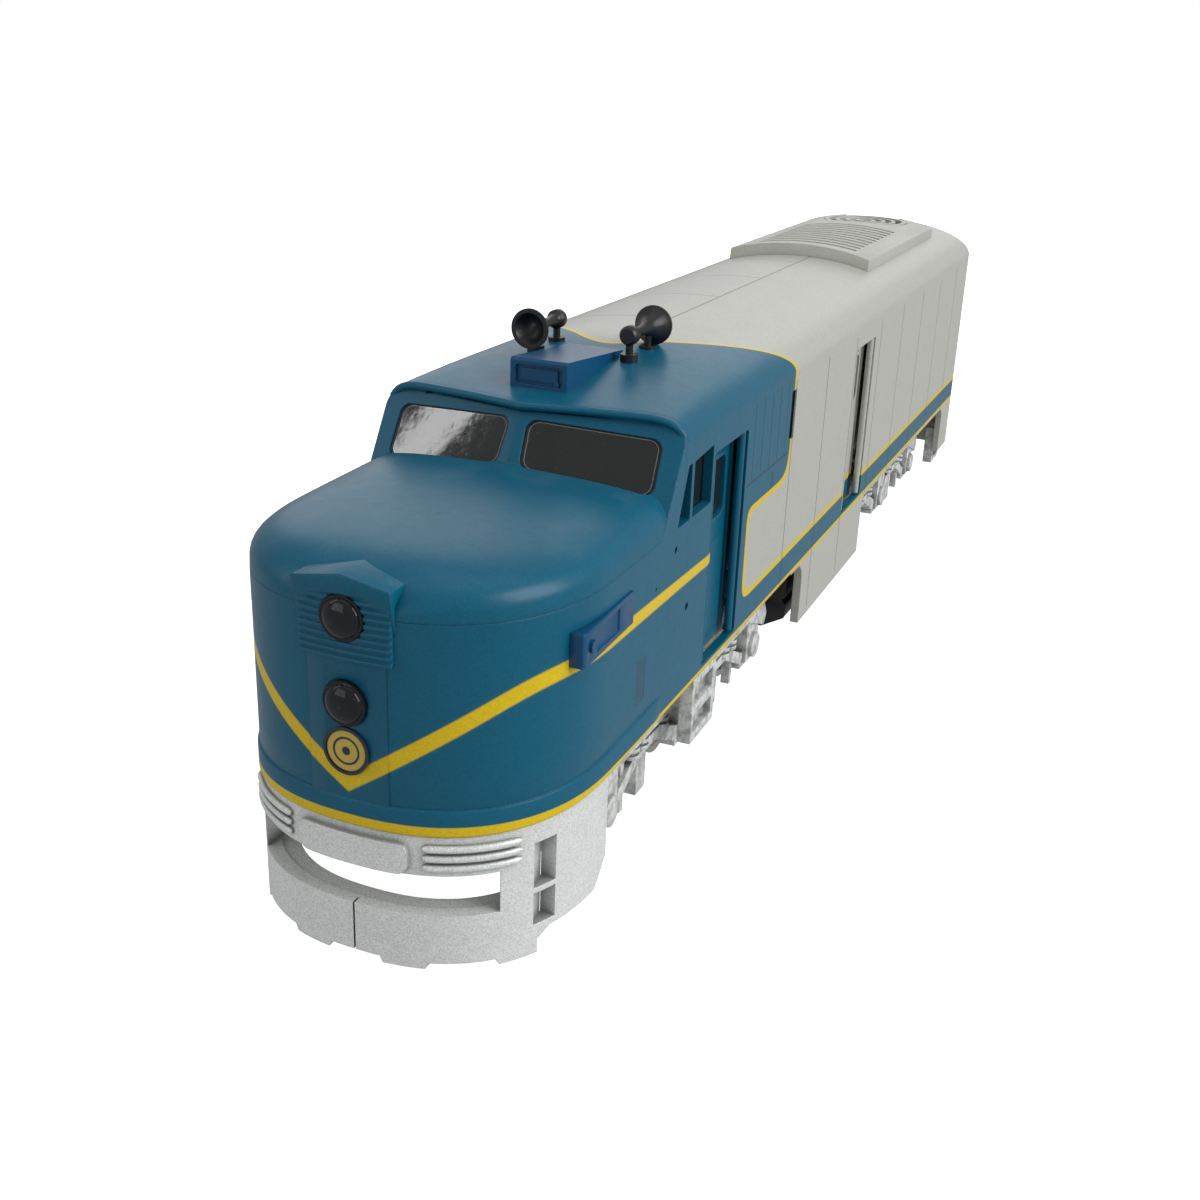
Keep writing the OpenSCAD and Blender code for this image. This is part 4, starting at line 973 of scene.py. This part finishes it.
def rear_wall_detail():
    """End door with its window rim, and two lamps, on the flat rear wall."""
    rim = box_mesh((-4.2, LENGTH - 0.1, 12.4), (4.2, LENGTH + 0.35, 23.6))
    hole = box_mesh((-3.5, LENGTH - 1, 13.1), (3.5, LENGTH + 1, 22.9))
    lamps = [cylinder((x, LENGTH - 0.1, 27.5), (0, 1, 0), 1.1, 0.5, 32) for x in (-11, 11)]
    return join([combine(rim, [hole], "DIFFERENCE")] + lamps)


body_shell()


def plan_prism(t, back, low, high):
    """Solid that follows the nose's plan, t inside its skin."""
    outline = [(HALF - t, back)] + [plan_point(math.radians(a), t) for a in np.linspace(0, 180, 121)]
    outline.append((-(HALF - t), back))
    return prism([at(x, s, low) for x, s in outline], (0, 0, (high - low) * MM))


def half_round_bar(height, x0, x1, radius):
    """Rounded bar that lies along the nose's plan between two widths, with tapered ends."""
    rows = []
    for k in np.linspace(0, 1, 25):
        x = x0 + (x1 - x0) * k
        s = NOSE_FACE + NOSE_ROUND * (1 - (1 - (abs(x) / HALF) ** 2.4) ** (1 / 2.4))
        slope = NOSE_ROUND / HALF * (abs(x) / HALF) ** 1.4 * math.copysign(1, x)
        out = Vector((slope, -1, 0)).normalized()
        girth = radius * min(1.0, (min(k, 1 - k) * 16 + 0.25)) ** 0.5
        ring = [Vector((x, s, height)) + out * girth * math.cos(a) + Vector((0, 0, girth * math.sin(a)))
                for a in np.linspace(0, 2 * math.pi, 16, endpoint=False)]
        rows.append([at(*p) for p in ring])
    return grid_solid(rows, "bar")


def pilot():
    """Skirt under the nose: coupler opening, corner windows, ribbed bars and a blank plate."""
    low, back = PILOT_FOOT, PILOT_BACK
    slot_half, slot_low, slot_high = COUPLER_SLOT
    cuts = [plan_prism(PILOT_WALL, back + 1, low - 1, 1),
            box_mesh((-slot_half, -2, slot_low), (slot_half, 12, slot_high))]
    for sign in (1, -1):
        for z0, z1 in ((-7.5, -2.3), (-11.8, -8.1)):
            x0, x1 = sorted((sign * 15.4, sign * 20))
            cuts.append(box_mesh((x0, 10.0, z0), (x1, 12.6, z1)))
    below = [(10.5, -30), (10.5, low + 1.6), (12, low + 2.6),
             (back - 2.6, low + 2.6), (back + 1, low + 6.5), (back + 9, -30)]
    cuts.append(side_outline(below, -30, 30))
    for x in (-10.6, 0, 10.6):
        notch = [at(x + dx, -3, low + dz) for dx, dz in ((-3.6, -1), (-2.8, 0.7), (2.8, 0.7), (3.6, -1))]
        cuts.append(prism(notch, (0, 17 * MM, 0)))
    cuts.append(box_mesh((-0.1, -1, -20), (0.1, NOSE_FACE + 1, -6.4)))
    skin = combine(plan_prism(0.1, back, low, -0.1), cuts, "DIFFERENCE")
    plate_edge = rounded([(-6.1, -4.2), (6.1, -4.2), (6.1, -0.9), (-6.1, -0.9)], 1.1, 7)
    plate_reach = prism([at(x, -3, z) for x, z in plate_edge], (0, 8 * MM, 0))
    plate = combine(plan_prism(-0.45, back, -5, 0), [plate_reach], "INTERSECT")
    plate = combine(plate, [plan_prism(0.6, back + 1, -6, 1)], "DIFFERENCE")
    bars = [half_round_bar(z, sign * 7.4, sign * 15.2, 0.42) for z in (-1.3, -2.35, -3.4) for sign in (1, -1)]
    ledge_cuts = [plan_prism(3.4, back + 1, -11, -8), box_mesh((-20, 12, -11), (20, 30, -8))]
    ledge = combine(plan_prism(1.5, back, -9.7, -9.2), ledge_cuts, "DIFFERENCE")
    flange = combine(plan_prism(1.65, back, -1.6, -0.1), [plan_prism(3.1, back + 1, -3, 1)], "DIFFERENCE")
    whole = join([skin, plate, ledge, flange] + bars)
    finish_mesh("pilot_piece", whole, "body", "silver_paint", ("pilot",), 30)


def roof_wedge():
    """Housing on the cab roof: deep and rimmed at the front, with a sunk panel and a latch."""
    profile = [(42.2, 33.6), (42.2, 37.5), (42.5, 37.8), (58.4, 36.5), (58.4, 35.8)]
    body = side_outline(profile, -3.5, 3.5)
    rim = rounded([(-2.9, 34.9), (2.9, 34.9), (2.9, 37.1), (-2.9, 37.1)], 0.4)
    sunk = prism([at(x, 41.5, z) for x, z in rim], (0, 1.1 * MM, 0))
    body = combine(body, [sunk], "DIFFERENCE")
    panel = box_mesh((-2.3, 42.35, 35.3), (2.3, 42.7, 36.7))
    latch = cylinder((2.2, 42.3, 35.2), (0, 1, 0), 0.3, 0.5, 20)
    whole = join([body, panel, latch])
    finish_mesh("roof_wedge_piece", whole, "body", "dark_blue_paint", ("roof_wedge_housing",))


windshield_panes()
side_panes()
pilot()
roof_wedge()

# rounding of each refined node's edges, in millimetres; 0 keeps the edges and only smooths the faces
REFINED = {
    "nose_door_panel": 0.07, "left_number_board": 0.10, "right_number_board": 0.10,
    "cab_ladders": 0.10, "rear_steps": 0.10, "roof_hatch": 0.10,
    "rear_diaphragm": 0.12, "chassis_frame": 0.25, "fuel_tank": 0.25,
    "coupler_box": 0.08, "rear_coupler": 0.10, "front_gearbox": 0.20,
    "rear_gearbox": 0.20, "front_side_frames": 0.10, "rear_side_frames": 0.10,
    "radiator_fan_grille": 0.0, "left_horn": 0.0, "right_horn": 0.0, "upper_headlight_lens": 0.0,
    "lower_headlight_lens": 0.0, "nose_badge": 0.0,
    "class_lamp_lenses": 0.0, "cab_handrails": 0.0, "engine_door_handrails": 0.0,
}
# nodes whose shapes are built above
REBUILT = ("body_shell", "pilot", "roof_wedge_housing", "windshield_glazing", "side_window_glazing")
for node, width in REFINED.items():
    refined(node, width)
for node, piece in NODES.items():
    if node not in REFINED and node not in REBUILT:
        piece.data.materials.clear()
        piece.data.materials.append(MATERIALS[SLOT_OF[node]])


# ---------- floor, light, camera ----------

def stage_floor():
    """Plain floor under the wheels."""
    data = bpy.data.meshes.new("floor")
    reach = 12.0
    corners = [(-reach, -reach, 0), (reach, -reach, 0), (reach, reach, 0), (-reach, reach, 0)]
    data.from_pydata(corners, [], [(0, 1, 2, 3)])
    floor = bpy.data.objects.new("floor", data)
    data.materials.append(floor_finish())
    bpy.context.scene.collection.objects.link(floor)
    floor.visible_glossy = False           # the bright floor would wash out the dark paint
    floor.visible_diffuse = False


def area_light(name, place, target, size, power):
    """Rectangular soft light at a place, facing a target; metres and watts."""
    data = bpy.data.lights.new(name, "AREA")
    data.shape = "RECTANGLE"
    data.size, data.size_y = size
    data.energy = power
    lamp = bpy.data.objects.new(name, data)
    lamp.location = place
    lamp.rotation_euler = (Vector(target) - Vector(place)).to_track_quat("-Z", "Y").to_euler()
    bpy.context.scene.collection.objects.link(lamp)


def studio():
    """White surroundings, dimmer in reflections than behind the part, four soft lights and a strip."""
    world = bpy.data.worlds.new("studio")
    world.use_nodes = True
    tree = world.node_tree
    glow = tree.nodes["Background"]
    seen = tree.nodes.new("ShaderNodeBackground")
    path = tree.nodes.new("ShaderNodeLightPath")
    choose = tree.nodes.new("ShaderNodeMixShader")
    glow.inputs["Color"].default_value = (1, 1, 1, 1)
    glow.inputs["Strength"].default_value = 0.38
    seen.inputs["Color"].default_value = (1, 1, 1, 1)
    seen.inputs["Strength"].default_value = 1.0
    tree.links.new(path.outputs["Is Camera Ray"], choose.inputs[0])
    tree.links.new(glow.outputs[0], choose.inputs[1])
    tree.links.new(seen.outputs[0], choose.inputs[2])
    tree.links.new(choose.outputs[0], tree.nodes["World Output"].inputs["Surface"])
    bpy.context.scene.world = world
    area_light("back_softbox", (-0.45, 1.05, 0.50), (0, 0, 0.04), (1.2, 0.7), 2.0)
    area_light("side_softbox", (1.2, 0.0, 0.7), (0, 0, 0.03), (1.0, 1.0), 14.0)
    area_light("top_softbox", (0, 0, 1.2), (0, 0, 0), (1.0, 1.0), 1.6)
    area_light("front_softbox", (-0.5, -1.0, 0.3), (0, -0.05, 0.03), (0.6, 0.6), 1.0)
    area_light("strip_softbox", (-0.59, -0.425, 0.48), (0, -0.07, 0.045), (0.026, 0.5), 0.3)
    bpy.context.scene.view_settings.view_transform = "Standard"


def camera():
    """Three-quarter view from the front left, as a 43 mm lens sees it from just above the nose."""
    heading, pitch, roll = math.radians(22.52), math.radians(21.67), math.radians(-2.21)
    level = math.cos(pitch)
    forward = Vector((-math.sin(heading) * level, math.cos(heading) * level, -math.sin(pitch)))
    right = Vector((math.cos(heading), math.sin(heading), 0))
    down = forward.cross(right)
    right_rolled = right * math.cos(roll) + down * math.sin(roll)
    up = right_rolled.cross(forward)
    data = bpy.data.cameras.new("camera")
    data.sensor_width = 36.0
    data.lens = 42.63
    data.clip_start = 0.01
    eye = bpy.data.objects.new("camera", data)
    basis = Matrix((right_rolled, up, -forward)).transposed()
    eye.matrix_world = Matrix.Translation(at(67.17, -99.35, 71.58)) @ basis.to_4x4()
    bpy.context.scene.collection.objects.link(eye)
    bpy.context.scene.camera = eye


stage_floor()
studio()
camera()
